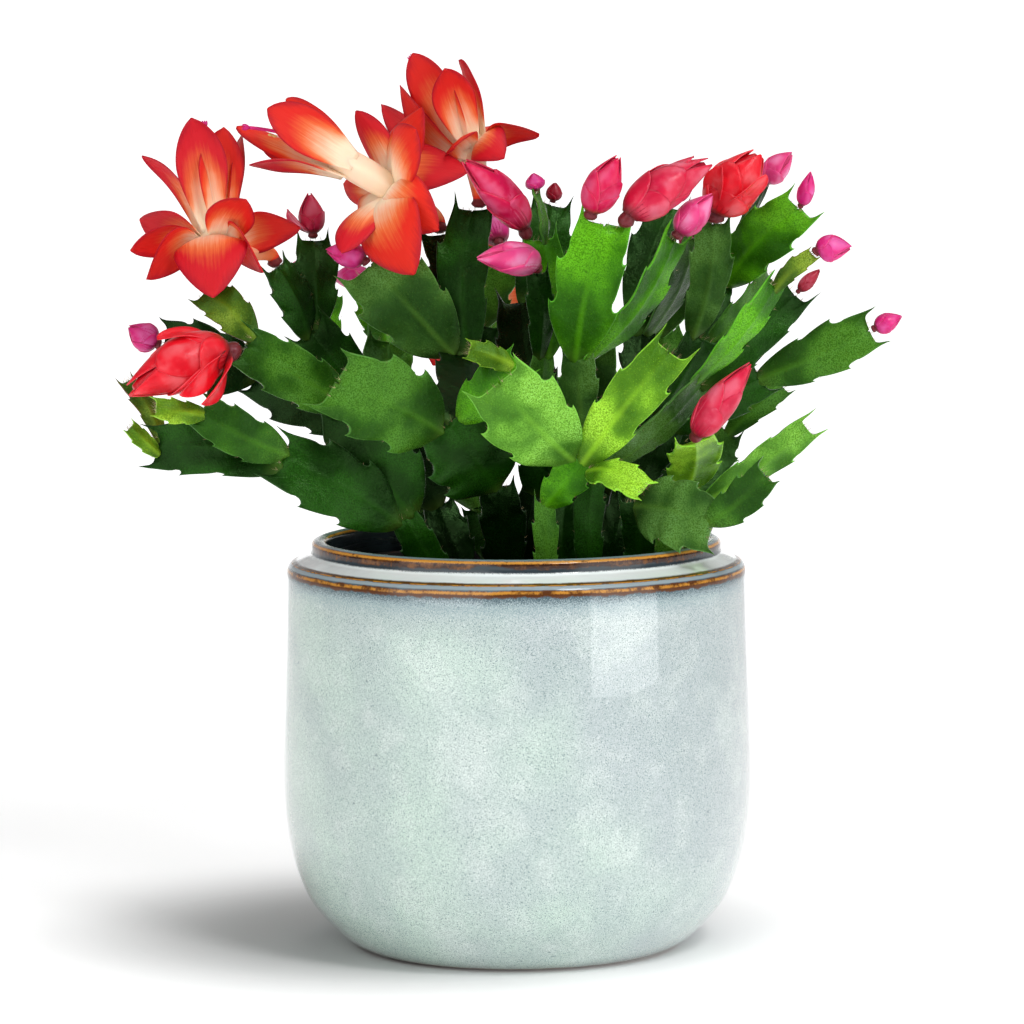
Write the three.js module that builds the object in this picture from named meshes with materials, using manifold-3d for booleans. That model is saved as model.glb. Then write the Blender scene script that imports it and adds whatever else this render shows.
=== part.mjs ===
// A potted christmas cactus: a glazed round pot, the plastic pot that stands inside it with its soil,
// and arching leafless stems made of flat toothed joints (pads) that end in buds and open blooms.
// Millimetres, +Z up. The origin is the middle of the pot's foot. -Y is the front.

import * as THREE from 'three';
import { mergeVertices } from 'three/addons/utils/BufferGeometryUtils.js';
import Module from 'manifold-3d';

const wasm = await Module();
wasm.setup();

// Driving dimensions
const clearance = 0.3; // between pieces that touch
const roundSides = 28; // sides of every round of the pots and the soil
const potHeight = 131;
const potFloor = 6;
const plasticWall = 1.4;
const plasticFloor = potFloor + clearance;
const plasticRim = 122;
const plasticFootRadius = 42.5;
const plasticRimRadius = 56.5;
const soilLevel = 113;
const soilRoughness = 1.3;
const stubSides = 5;
const stubRadius = 2.6; // woody foot of each stem
const stubDepth = 15; // below the soil's surface
const stubRise = 6; // above the soil's surface
const padRib = [0.75, 1.45, 0.95]; // half thickness along a pad's midrib, at ribStations
const padEdge = 0.42; // half thickness along a pad's edge
const neckHalf = 1.1; // half width of the joint that a pad hangs by
const padOverlap = 1.6; // how deep a pad starts inside the pad that it grows from
const padSway = 0.12; // part of a pad's length between its furthest bends to either side
const padTwist = 0.5; // radians between its furthest twists either way
const padFold = [0.1, 0.16]; // rise of the edges per mm of reach: the least, and what chance may add
const toothSlip = 0.05; // part of a pad's length that a tooth may lie up or down in all
const toothSize = [0.93, 0.14]; // part of its reach: the least, and what chance may add
const seatGap = 0.62; // from a pad's tip to the bud or bloom that it carries
const budBend = 0.22; // part of a bud's length along which it keeps its pad's way
const petalHalf = 0.42; // half thickness of a petal
const petalCup = 0.24; // drop of a petal's edges per mm of reach
const petalRoot = 2.8; // from the middle of the tube to a petal's root
const mouthSunk = 2; // how far the mouth's petals start inside the tube
const ovaryLength = 4;
const tubeSides = 6;
const styleRadius = 0.75;
const styleSides = 6;

// Points of the plant are given as x and z on the upright plane through the pot's axis, as seen by an eye
// in front of it, with their depth y apart. Each is then moved along its line of sight to that depth.
const eyeDistance = 1588;
const eyeHeight = 304.2;

const glaze = { color: 0xa9b8ad, roughness: 0.3 };
const blackPlastic = { color: 0x1c1a19, roughness: 0.5 };
const pottingSoil = { color: 0x3a2a1f, roughness: 0.95 };
const padGreen = { color: 0x4f7f3a, roughness: 0.5 };
const petalCoral = { color: 0xe2553d, roughness: 0.5 };
const styleMagenta = { color: 0xc2185b, roughness: 0.45 };
const budPink = { color: 0xd8387a, roughness: 0.45 };

// Outer and inner outline of the glazed pot, from the foot up over the lip and down to the floor
const potOutline = [
  [0, 0], [50, 0], [55.5, 3], [61, 8], [67, 15], [71.5, 26], [74.3, 40], [75, 58], [74, 95],
  [73.2, 121.5], [72.2, 123.4], [65.2, 126.4], [65.4, 130], [63.2, potHeight], [60.6, 130.2], [60, 121],
  [66.5, 112], [69, 60], [61, 15], [52, potFloor], [0, potFloor],
];

// Half of a pad's outline: part of its length and part of its half width. Two teeth, the long horn beside
// the tip, and the broad notch that the next pads and the buds grow from. Teeth and the joint come to a
// point. Grown for a clearance, a point moves by so many times it, out and up.
const padOutline = [
  { t: 0, w: 0, out: 1, up: -1, sharp: true },
  { t: 0.2, w: 0.68, out: 1, up: 0 },
  { t: 0.4, w: 1, out: 1, up: 0, sharp: true },
  { t: 0.46, w: 0.84, out: 1, up: 0 },
  { t: 0.71, w: 1.04, out: 1, up: 0, sharp: true },
  { t: 0.77, w: 0.84, out: 1, up: 0 },
  { t: 1.09, w: 0.78, out: 0.8, up: 4, sharp: true },
  { t: 0.98, w: 0.5, out: -1, up: 1.7 },
];
const ribStations = [0, 0.45, 0.97];
const ribUp = [-1, 0, 1.7]; // the same move up of the midrib's points, grown for a clearance

// Stems. Each pad: the pad it grows from, x and z of its tip, depth y, full width, the way its face looks
// (0 to the front, 90 to +X), how far the face looks up, its bow along the way that it looks, and where
// two grow from one notch, how far to the side of its middle this one starts.
const stems = {
  stem_left_front: {
    foot: [-20, -20],
    pads: {
      a0: ['foot', -36, 138, -30, 12, 0, 0, 1],
      a1: ['a0', -52, 175, -27, 30, -8, 0, 3, 2],
      a2: ['a0', -76, 157, -42, 22, 8, 10, 3, -2],
      a3: ['a2', -101, 172, -52, 15, 5, 0, 2, 2],
      a4: ['a2', -116, 160, -36, 18, 15, 10, 3, -2],
      a5: ['a3', -115, 173, -58, 8, 0, 20, 1],
      a6: ['a4', -123, 167, -40, 6, 0, 30, 1, -2],
      a7: ['a4', -124, 182, -26, 7, 20, 0, 1, 2],
      c1: ['a1', -87, 193, -38, 18, 0, 10, 3],
      c2: ['c1', -99, 210, -28, 13, 10, 0, 2, 3.5],
    },
  },
  stem_left_rear: {
    foot: [-16, 6],
    pads: {
      d0: ['foot', -25, 142, 8, 14, 20, 0, 1],
      d1: ['d0', -44, 171, 8, 22, 20, 0, 2],
      d2: ['d1', -66, 198, 2, 20, 15, 0, 2, 2],
      d3: ['d2', -76, 218, -4, 13, 35, 0, 1, -2],
      d4: ['d2', -64, 227, 12, 14, 5, 0, 1, 2],
      d5: ['d1', -84, 184, 20, 20, -20, 10, 2, -2],
      d6: ['d5', -113, 193, 22, 22, 0, 0, 2],
    },
  },
  stem_centre_left: {
    foot: [-4, -8],
    pads: {
      b0: ['foot', -6, 148, -20, 15, 0, 0, 1],
      b1: ['b0', -22, 168, -34, 28, 10, 0, 2],
      b2: ['b1', -58, 181, -56, 27, 0, 0, 3, -3],
      b3: ['b1', -17, 190, -8, 20, 10, 0, 2],
      b4: ['b1', 2, 187, -38, 15, -10, 0, 2, 3],
      b5: ['b4', -15, 191, -42, 8, 0, 20, 1],
      b6: ['b3', -47, 219, -12, 26, -8, 5, 3, -2.5],
      b7: ['b3', -13, 237, -4, 17, 0, 0, 2, 2.5],
      b8: ['b3', -24, 229, 8, 16, 10, 0, 1],
    },
  },
  stem_front: {
    foot: [9, -34],
    pads: {
      j0: ['foot', 9, 143, -38, 8, 0, 0, 1],
      j1: ['j0', 22, 155, -42, 12, 0, 0, 1],
      j2: ['j1', -6, 181, -54, 27, -10, 5, 3, -2.5],
      j3: ['j1', 50, 191, -50, 17, 5, 0, 2],
      j4: ['j1', 41, 146, -56, 12, 0, 40, 3, 2.5],
    },
  },
  stem_centre: {
    foot: [15, -10],
    pads: {
      h0: ['foot', 16, 143, -12, 9, 0, 0, 1],
      h1: ['h0', 22, 166, -16, 15, 15, 0, 1],
      h2: ['h1', 20, 189, -22, 13, 0, 0, 1],
      h3: ['h2', 29, 232, -30, 21, 0, 0, 3, -1],
      h4: ['h2', 51, 227, -20, 14, 55, 0, 2, 2.5],
    },
  },
  stem_centre_rear: {
    foot: [1, 12],
    pads: {
      g0: ['foot', 6, 146, 10, 12, 10, 0, 1],
      g1: ['g0', 9, 168, 6, 16, 0, 0, 1],
      g2: ['g1', 9, 190, 2, 10, 30, 0, 1, -2],
      g3: ['g2', 8, 227, -2, 14, 8, 0, 2, 1.5],
      g4: ['g3', 7, 241, -2, 9, 75, 0, 1, 1.5],
      g5: ['g1', 2, 208, 22, 20, -20, 0, 1, 2],
      g6: ['g5', 12, 238, 26, 16, 0, 0, 1],
      g7: ['g2', 7, 216, -12, 9, 10, 0, 1, -1.5],
    },
  },
  stem_right_front: {
    foot: [24, -24],
    pads: {
      k0: ['foot', 25, 153, -26, 10, 0, 0, 1],
      k1: ['k0', 60, 181, -28, 14, 60, 0, 2],
      k2: ['k1', 83, 212, -34, 12, 50, 0, 2, -2],
      k3: ['k1', 90, 209, -18, 14, 0, 0, 2, 2],
      k4: ['k2', 95, 221, -36, 6, 0, 0, 1, 1.5],
    },
  },
  stem_right_middle: {
    foot: [28, -6],
    pads: {
      l0: ['foot', 36, 148, -3, 11, 20, 0, 1],
      l1: ['l0', 50, 167, -1, 12, 10, 0, 1],
      l2: ['l1', 79, 182, -6, 16, 30, 10, 2],
      l3: ['l2', 114, 197, -10, 16, 0, 0, 2],
    },
  },
  stem_right_low: {
    foot: [38, -22],
    pads: {
      o0: ['foot', 37, 143, -34, 11, 0, 0, 1],
      o1: ['o0', 63, 134, -46, 22, -15, 10, 3],
      o2: ['o1', 80, 151, -54, 12, 0, 10, 1],
    },
  },
  stem_right_outer: {
    foot: [42, 4],
    pads: {
      p0: ['foot', 58, 145, 0, 14, 10, 0, 1],
      p1: ['p0', 57, 162, -37, 17, -10, 65, 2, -3],
      p2: ['p0', 94, 166, -4, 12, 45, 10, 2, 3],
      p3: ['p0', 68, 165, 14, 13, 0, 0, 1],
      p4: ['p3', 86, 179, 16, 9, 0, 0, 1],
    },
  },
  stem_right_rear: {
    foot: [24, 18],
    pads: {
      n0: ['foot', 31, 146, 20, 12, 0, 0, 1],
      n1: ['n0', 44, 172, 18, 18, 20, 0, 2],
      n2: ['n1', 60, 195, 12, 16, 30, 0, 2, 2],
      n3: ['n2', 65, 213, 22, 12, 0, 0, 1],
      n4: ['n3', 79, 243, 22, 9, 60, 0, 2, -2],
      n5: ['n2', 82, 214, 24, 14, 55, 0, 2, 3],
      n6: ['n3', 91, 236, -2, 18, -5, 0, 2, 2],
      n7: ['n1', 40, 197, 26, 13, 20, 0, 1, -2],
      n8: ['n7', 57, 227, 16, 13, 50, 0, 1, 2],
      n9: ['n7', 50, 237, 38, 15, 0, 0, 1, -2],
      n10: ['n2', 63, 232, 0, 14, 10, 0, 1, -3],
    },
  },
  stem_rear_left: {
    foot: [-22, 24],
    pads: {
      q0: ['foot', -32, 140, 36, 13, 160, 0, 1],
      q1: ['q0', -46, 166, 44, 21, 160, 0, 2],
      q2: ['q1', -62, 190, 52, 20, 140, 0, 2, 2],
      q3: ['q2', -64, 214, 60, 16, 150, 10, 2],
      q4: ['q1', -40, 194, 58, 20, 200, 0, 2, -2],
      q5: ['q4', -46, 212, 76, 15, 190, 20, 2],
      q6: ['q0', -62, 149, 60, 18, 160, 30, 2, -2.5],
    },
  },
  stem_rear_middle: {
    foot: [-6, 34],
    pads: {
      s0: ['foot', -12, 141, 42, 14, 180, 0, 1],
      s1: ['s0', -18, 168, 50, 21, 200, 0, 2],
      s2: ['s1', -11, 200, 50, 22, 160, 0, 2, 2],
      s3: ['s2', -5, 224, 56, 20, 165, 0, 2],
      s4: ['s1', -6, 184, 74, 18, 195, 20, 2, -2],
      s5: ['s4', -10, 203, 94, 15, 175, 20, 2],
    },
  },
  stem_rear: {
    foot: [12, 38],
    pads: {
      t0: ['foot', 15, 140, 52, 14, 180, 0, 1],
      t1: ['t0', 19, 164, 60, 20, 160, 0, 2],
      t2: ['t1', 26, 192, 62, 19, 150, 0, 2, -2],
      t3: ['t2', 20, 216, 72, 16, 200, 10, 2],
      t4: ['t1', 40, 176, 84, 17, 150, 20, 2, 2],
    },
  },
  stem_rear_right: {
    foot: [30, 30],
    pads: {
      u0: ['foot', 38, 141, 42, 13, 150, 0, 1],
      u1: ['u0', 50, 168, 48, 20, 150, 0, 2],
      u2: ['u1', 46, 197, 54, 18, 190, 0, 2, -2],
      u3: ['u2', 54, 222, 58, 15, 150, 0, 2],
      u4: ['u1', 64, 182, 68, 17, 130, 20, 2, 2],
      u5: ['u0', 66, 150, 60, 18, 140, 30, 2, 2.5],
    },
  },
};

// Blooms. The pad that carries each and how far aside, the middle of its first ring of petals, the mouth of
// its tube, the tip of its style, and its petals: ring (0 first, 1 mouth), x and z of the tip, y, width.
const blooms = {
  bloom_left: {
    on: ['d3', 0],
    ring: [-95, 224, -17],
    mouth: [-96, 233, -13],
    style: [-98, 264, -7],
    petals: [
      [0, -119, 233, -14, 13], [0, -122, 223, -22, 9], [0, -117, 214, -28, 11], [0, -96, 208, -38, 17],
      [0, -80, 216, -28, 12], [0, -68, 230, -14, 12], [0, -92, 230, 12, 12], [0, -85, 239, -36, 11],
      [1, -102, 265, -25, 14], [1, -92, 262, -16, 13], [1, -86, 260, -4, 11],
      [1, -118, 253, -16, 7],
    ],
  },
  bloom_middle: {
    on: ['b8', 0],
    ring: [-39, 242, -6],
    mouth: [-57, 253, -10],
    style: [-86, 262, -18],
    petals: [
      [0, -50, 267, 4, 8], [0, -29, 268, -6, 12], [0, -31, 261, -26, 13], [0, -14, 248, -10, 13],
      [0, -24, 229, -24, 14], [0, -32, 215, -34, 17], [0, -55, 222, -26, 10], [0, -45, 219, 4, 12],
      [0, -54, 244, 18, 10],
      [1, -72, 271, -6, 9], [1, -78, 268, -22, 13], [1, -84, 250, -20, 12], [1, -80, 256, -2, 10],
      [1, -88, 262, -10, 9],
    ],
  },
  bloom_top: {
    on: ['b7', 2],
    ring: [-13, 253, 6],
    mouth: [-16, 260, 7],
    style: [-33, 284, 6],
    petals: [
      [0, -42, 269, 12, 10], [0, -36, 275, 4, 7], [0, -19, 255, -16, 9], [0, -3, 252, -10, 11],
      [0, 8, 259, 4, 9], [0, -4, 262, 34, 12],
      [1, -32, 285, 0, 13], [1, -22, 280, -10, 12], [1, -17, 283, 12, 11], [1, -30, 276, 22, 9],
    ],
  },
  bloom_rear: {
    on: ['s5', 0],
    ring: [-12, 206, 108],
    mouth: [-14, 209, 118],
    style: [-16, 210, 146],
    petals: [
      [0, -38, 210, 108, 13], [0, -26, 186, 108, 14], [0, 2, 184, 110, 14], [0, 14, 208, 108, 13],
      [0, -10, 232, 102, 13],
      [1, -32, 212, 140, 11], [1, -14, 192, 144, 12], [1, 6, 206, 142, 11], [1, -12, 228, 138, 11],
    ],
  },
};

// Buds. The pad that carries each and how far aside, x and z of its tip, depth y, width, and its ridges
// doubled, which are the sides of its rings.
const buds = {
  bud_left_red: ['c1', -3, -123, 178, -54, 16, 7],
  bud_left_outer: ['d6', 0, -123, 199, 20, 9, 5],
  bud_left_inner: ['b6', 0, -60, 223, -10, 8, 5],
  bud_left_upper: ['d4', 0, -65, 241, 12, 8, 5],
  bud_middle_tall: ['g3', -4.5, -16, 251, -26, 11, 6],
  bud_middle_low: ['g7', 0, -12, 220, -34, 10, 6],
  bud_middle_tip: ['g4', 0, 6, 247, -3, 6, 5],
  bud_middle_small: ['g6', 0, 13, 244, 24, 5, 5],
  bud_front_upright: ['h3', -5, 33, 252, -38, 11, 6],
  bud_front_large: ['h3', 6, 62, 250, -24, 13, 7],
  bud_front_side: ['h4', 0, 63, 240, -24, 9, 6],
  bud_right_red: ['n10', 0, 78, 253, -5, 16, 7],
  bud_right_pink: ['n4', 0, 88, 253, 16, 8, 5],
  bud_right_rear: ['n9', 0, 56, 249, 40, 8, 5],
  bud_right_inner: ['n8', 0, 62, 239, 18, 6, 5],
  bud_right_tip: ['n6', 0, 94, 247, -7, 5, 5],
  bud_right_side: ['k4', 0, 107, 223, -38, 8, 5],
  bud_right_young: ['k3', 0, 97, 216, -18, 4, 5],
  bud_right_outer: ['l3', 0, 123, 201, -11, 6, 5],
  bud_right_hanging: ['p1', 0, 75, 186, -44, 10, 6],
  bud_rear_left: ['q3', 0, -72, 213, 80, 9, 5],
  bud_rear_outer: ['q5', 0, -58, 214, 92, 8, 5],
  bud_rear_middle: ['s3', 0, -10, 233, 72, 9, 5],
  bud_rear_upper: ['t3', 0, 26, 222, 88, 10, 6],
  bud_rear_low: ['t4', 0, 50, 178, 102, 8, 5],
  bud_rear_right: ['u3', 0, 62, 228, 72, 9, 5],
};

// The same run of draws for the same seed, each from 0 to 1.
function drawsFrom(seed) {
  let state = seed >>> 0;
  return () => {
    state = (state + 0x6d2b79f5) >>> 0;
    let mixed = Math.imul(state ^ (state >>> 15), state | 1);
    mixed = (mixed + Math.imul(mixed ^ (mixed >>> 7), mixed | 61)) ^ mixed;
    return ((mixed ^ (mixed >>> 14)) >>> 0) / 4294967296;
  };
}

function seen(x, z, y) {
  const scale = 1 + y / eyeDistance;
  return new THREE.Vector3(x * scale, y, eyeHeight + (z - eyeHeight) * scale);
}

// A closed three.js geometry as a solid that can be joined and cut, less its triangles of no area.
function solidOf(geometry) {
  const bare = geometry.clone();
  bare.deleteAttribute('normal');
  bare.deleteAttribute('uv');
  const merged = mergeVertices(bare, 1e-4);
  const vertProperties = new Float32Array(merged.attributes.position.array);
  const corners = Array.from(merged.index.array);
  const kept = corners.filter((_, i) => {
    const [a, b, c] = corners.slice(i - (i % 3), i - (i % 3) + 3);
    return a !== b && b !== c && c !== a;
  });
  const triVerts = new Uint32Array(kept);
  return new wasm.Manifold(new wasm.Mesh({ numProp: 3, vertProperties, triVerts }));
}

function geometryOf(points, faces) {
  const geometry = new THREE.BufferGeometry();
  const numbers = points.flatMap((p) => [p.x, p.y, p.z]);
  geometry.setAttribute('position', new THREE.Float32BufferAttribute(numbers, 3));
  geometry.setIndex(faces.flat());
  return geometry;
}

function meshOf(name, solid, finish) {
  const { vertProperties, triVerts } = solid.getMesh();
  const geometry = new THREE.BufferGeometry();
  geometry.setAttribute('position', new THREE.BufferAttribute(new Float32Array(vertProperties), 3));
  geometry.setIndex(new THREE.BufferAttribute(new Uint32Array(triVerts), 1));
  geometry.computeVertexNormals();
  const mesh = new THREE.Mesh(geometry, new THREE.MeshStandardMaterial({ metalness: 0, ...finish }));
  mesh.name = name;
  return mesh;
}

// A lathe's outline runs from the axis to the axis; the lathe is turned from Y up to Z up.
function turned(outline) {
  const points = outline.map(([radius, height]) => new THREE.Vector2(radius, height));
  return solidOf(new THREE.LatheGeometry(points, roundSides).rotateX(Math.PI / 2));
}

// Rings of points, each running counterclockwise round the way that they follow, closed at both ends.
function loft(rings) {
  const count = rings[0].length;
  const points = rings.flat();
  const faces = [];
  for (let i = 0; i + 1 < rings.length; i += 1) {
    for (let j = 0; j < count; j += 1) {
      const a = i * count + j;
      const b = i * count + ((j + 1) % count);
      faces.push([a, b, a + count], [b, b + count, a + count]);
    }
  }
  const last = points.length - count;
  const middle = (ring) => ring.reduce((sum, p) => sum.add(p), new THREE.Vector3()).divideScalar(count);
  points.push(middle(rings[0]), middle(rings.at(-1)));
  for (let j = 0; j < count; j += 1) {
    const next = (j + 1) % count;
    faces.push([points.length - 2, next, j], [points.length - 1, last + j, last + next]);
  }
  return solidOf(geometryOf(points, faces));
}

// Two directions square to the given one, so that first x second = along.
function squareTo(along) {
  const upright = Math.abs(along.z) > 0.9 ? new THREE.Vector3(0, 1, 0) : new THREE.Vector3(0, 0, 1);
  const first = new THREE.Vector3().crossVectors(upright, along).normalize();
  return [first, new THREE.Vector3().crossVectors(along, first)];
}

function ringAt(centre, along, radius, sides, turn = 0, dent = 0) {
  const [first, second] = squareTo(along);
  return Array.from({ length: sides }, (_, j) => {
    const angle = turn + (2 * Math.PI * j) / sides;
    const reach = j % 2 ? radius * (1 - dent) : radius;
    return centre.clone()
      .addScaledVector(first, reach * Math.cos(angle))
      .addScaledVector(second, reach * Math.sin(angle));
  });
}

// Where a pad lies: its line, the way that its face looks, and the point at part t, side reach, height.
function padPlace(from, tip, width, facing, lift, bow, seed) {
  const draw = drawsFrom(seed);
  const length = from.distanceTo(tip);
  const along = tip.clone().sub(from).normalize();
  const azimuth = THREE.MathUtils.degToRad(facing);
  const elevation = THREE.MathUtils.degToRad(lift);
  const face = new THREE.Vector3(
    Math.sin(azimuth) * Math.cos(elevation),
    -Math.cos(azimuth) * Math.cos(elevation),
    Math.sin(elevation),
  );
  face.addScaledVector(along, -face.dot(along)).normalize();
  const side = new THREE.Vector3().crossVectors(along, face);
  const sway = (draw() - 0.5) * padSway * length;
  const twist = (draw() - 0.5) * padTwist;
  const fold = padFold[0] + padFold[1] * draw();
  const at = (t, reach, height) => {
    const turn = twist * (t - 0.5);
    const wave = Math.sin(Math.PI * Math.min(Math.max(t, 0), 1));
    const across = side.clone().multiplyScalar(Math.cos(turn)).addScaledVector(face, Math.sin(turn));
    const upward = face.clone().multiplyScalar(Math.cos(turn)).addScaledVector(side, -Math.sin(turn));
    return from.clone()
      .addScaledVector(along, t * length)
      .addScaledVector(side, sway * wave)
      .addScaledVector(across, reach)
      .addScaledVector(upward, height)
      .addScaledVector(face, bow * wave + fold * Math.abs(reach));
  };
  return { at, draw, length, along, side, half: width / 2 };
}

// One toothed pad as a closed solid. Both faces are split alike; grow makes it larger all round.
function padSolid(spec, grow = 0) {
  const { at, draw, length, half } = padPlace(...spec);
  const points = [];
  const faces = [];
  const both = (t, reach, thick) => {
    points.push(at(t, reach, thick + grow), at(t, reach, -thick - grow));
    return points.length - 2;
  };
  const wall = (a, b) => faces.push([a, a + 1, b], [b, a + 1, b + 1]);
  const skin = (a, b, c) => faces.push([a, b, c], [a + 1, c + 1, b + 1]);
  const ribs = ribStations.map((t, i) => both(t + (ribUp[i] * grow) / length, 0, padRib[i]));
  const rims = [-1, 1].map((sign) => padOutline.map(({ t, w, out, up, sharp }) => {
    const slip = sharp && t > 0 ? (draw() - 0.5) * toothSlip : 0;
    const size = sharp ? toothSize[0] + toothSize[1] * draw() : 1;
    const reach = Math.max(w * size * half, neckHalf) + out * grow;
    return both(t + slip + (up * grow) / length, sign * reach, sharp ? 0 : padEdge);
  }));
  const [joint, middle, end] = ribs;
  rims.forEach((rim, which) => {
    const flip = which === 1;
    const face = (a, b, c) => (flip ? skin(a, c, b) : skin(a, b, c));
    const edge = (a, b) => (flip ? wall(b, a) : wall(a, b));
    const loop = [...rim, end];
    face(rim[0], joint, middle);
    for (let i = 0; i + 1 < loop.length; i += 1) {
      face(loop[i], middle, loop[i + 1]);
      edge(loop[i + 1], loop[i]);
    }
    edge(rim[0], joint);
  });
  return solidOf(geometryOf(points, faces));
}

// A petal: a thin cupped blade along a bend from its root to its tip, its width square to the
// bend. Its outline is narrow at the root, broadest past the middle and pointed.
const petalOutline = [[0, 0.2], [0.38, 0.82], [0.72, 1], [1, 0.16]];

function petalSolid(root, control, tip, width, across) {
  const curve = new THREE.QuadraticBezierCurve3(root, control, tip);
  const points = [];
  const faces = [];
  const both = (point, normal) => {
    points.push(point.clone().addScaledVector(normal, petalHalf));
    points.push(point.clone().addScaledVector(normal, -petalHalf));
    return points.length - 2;
  };
  const rows = petalOutline.map(([t, part]) => {
    const normal = new THREE.Vector3().crossVectors(curve.getTangent(t), across).normalize();
    const reach = (part * width) / 2;
    return [-1, 0, 1].map((sign) => {
      const cup = sign ? -petalCup * reach : 0;
      const point = curve.getPoint(t).addScaledVector(across, sign * reach);
      return both(point.addScaledVector(normal, cup), normal);
    });
  });
  const quad = (a, b, c, d) => {
    faces.push([a, b, c], [a, c, d], [a + 1, c + 1, b + 1], [a + 1, d + 1, c + 1]);
  };
  const wall = (a, b) => faces.push([a, a + 1, b], [b, a + 1, b + 1]);
  for (let i = 0; i + 1 < rows.length; i += 1) {
    quad(rows[i][1], rows[i][0], rows[i + 1][0], rows[i + 1][1]);
    quad(rows[i][2], rows[i][1], rows[i + 1][1], rows[i + 1][2]);
    wall(rows[i][0], rows[i + 1][0]);
    wall(rows[i + 1][2], rows[i][2]);
  }
  const last = rows.at(-1);
  wall(rows[0][1], rows[0][0]);
  wall(rows[0][2], rows[0][1]);
  wall(last[0], last[1]);
  wall(last[1], last[2]);
  return solidOf(geometryOf(points, faces));
}

function joined(solids) {
  return solids.reduce((whole, next) => whole.add(next));
}

// The largest body of a solid alone: sealed hollows are filled and loose scraps dropped.
function oneBody(solid) {
  return solid.decompose().reduce((most, body) => (body.volume() > most.volume() ? body : most));
}

// Every pad that has been made: its place and its tip.
const made = {};

function padSpec([parent, x, z, y, width, facing, lift, bow, aside = 0], footTop, seed) {
  const from = parent === 'foot' ? footTop : made[parent].tip.clone()
    .addScaledVector(made[parent].along, -padOverlap)
    .addScaledVector(made[parent].side, aside);
  return [from, seen(x, z, y), width, facing, lift, bow, seed];
}

function stemSolid({ foot: [x, y], pads }, stemIndex) {
  const upward = new THREE.Vector3(0, 0, 1);
  const deep = new THREE.Vector3(x, y, soilLevel - stubDepth);
  const top = new THREE.Vector3(x, y, soilLevel + stubRise);
  const stub = loft([
    ringAt(deep, upward, stubRadius, stubSides), ringAt(top, upward, stubRadius * 0.8, stubSides),
  ]);
  const footTop = top.clone().addScaledVector(upward, -padOverlap);
  const solids = Object.entries(pads).map(([name, row], index) => {
    const spec = padSpec(row, footTop, 100 * (stemIndex + 1) + index);
    const { at, along, side } = padPlace(...spec);
    made[name] = { spec, tip: at(ribStations.at(-1), 0, 0), along, side };
    return padSolid(spec);
  });
  return oneBody(joined([stub, ...solids]));
}

// Where something seated on a pad's tip starts: just clear of the notch, going on the pad's way.
function seat(pad, aside) {
  const { tip, along, side } = made[pad];
  return tip.clone().addScaledVector(along, seatGap).addScaledVector(side, aside);
}

// What a seated piece keeps when the pad that carries it, a little larger, is taken away from it.
function clearOf(pad, solid) {
  return oneBody(solid.subtract(padSolid(made[pad].spec, clearance)));
}

// A bud swells from a round ovary through a neck to its widest part and closes to a point. Its wrapped
// petals stand out as ridges that turn round it, each ring of them set between those of the last.
const budShape = [
  { t: 0, radius: 0.12, ridge: 0, least: 5 }, { t: 0.08, radius: 0.25, ridge: 0, least: 5 },
  { t: 0.2, radius: 0.2, ridge: 0, least: 5 }, { t: 0.4, radius: 0.44, ridge: 0.16, least: 6 },
  { t: 0.46, radius: 0.42, ridge: 0.24, least: 5 }, { t: 0.7, radius: 0.5, ridge: 0.14, least: 5 },
  { t: 0.77, radius: 0.42, ridge: 0.3, least: 8 }, { t: 0.9, radius: 0.24, ridge: 0.2, least: 6 },
  { t: 1, radius: 0.04, ridge: 0, least: 5 },
];

function budSolid([pad, aside, x, z, y, width, sides]) {
  const start = seat(pad, aside);
  const end = seen(x, z, y);
  const bend = start.clone().addScaledVector(made[pad].along, budBend * start.distanceTo(end));
  const path = new THREE.QuadraticBezierCurve3(start, bend, end);
  const shape = budShape.filter(({ least }) => sides >= least);
  const rings = shape.map(({ t, radius, ridge }, i) => {
    const turn = ((i % 2) * 2 * Math.PI) / sides + 0.5 * t;
    return ringAt(path.getPoint(t), path.getTangent(t), radius * width, sides, turn, ridge);
  });
  return clearOf(pad, loft(rings));
}

// A bloom: an ovary and a tube that swells to its mouth, a first ring of petals bent outward and back,
// and a ring at the mouth that opens less.
function bloomSolid({ on: [pad, aside], ring, mouth, petals }) {
  const start = seat(pad, aside);
  const ringPoint = seen(...ring);
  const mouthPoint = seen(...mouth);
  const path = new THREE.CatmullRomCurve3([
    start, start.clone().addScaledVector(made[pad].along, ovaryLength), ringPoint, mouthPoint,
  ]);
  const tubeShape = [[0, 1.3], [0.08, 2.4], [0.2, 2], [0.6, 3.4], [1, 4.4]];
  const tube = loft(tubeShape.map(([t, radius]) => {
    return ringAt(path.getPoint(t), path.getTangent(t), radius, tubeSides);
  }));
  const way = mouthPoint.clone().sub(ringPoint).normalize();
  const solids = petals.map(([whorl, x, z, y, width]) => {
    const centre = (whorl ? mouthPoint : ringPoint).clone().addScaledVector(way, whorl ? -mouthSunk : 0);
    const tip = seen(x, z, y);
    const toTip = tip.clone().sub(centre);
    const outward = toTip.clone().addScaledVector(way, -toTip.dot(way)).normalize();
    const across = new THREE.Vector3().crossVectors(way, outward).normalize();
    const root = centre.clone().addScaledVector(outward, petalRoot);
    const control = centre.clone()
      .addScaledVector(outward, whorl ? 6 : 0.42 * toTip.length())
      .addScaledVector(way, whorl ? 0.62 * toTip.length() : 8);
    return petalSolid(root, control, tip, width, across);
  });
  return clearOf(pad, joined([tube, ...solids]));
}

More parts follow.
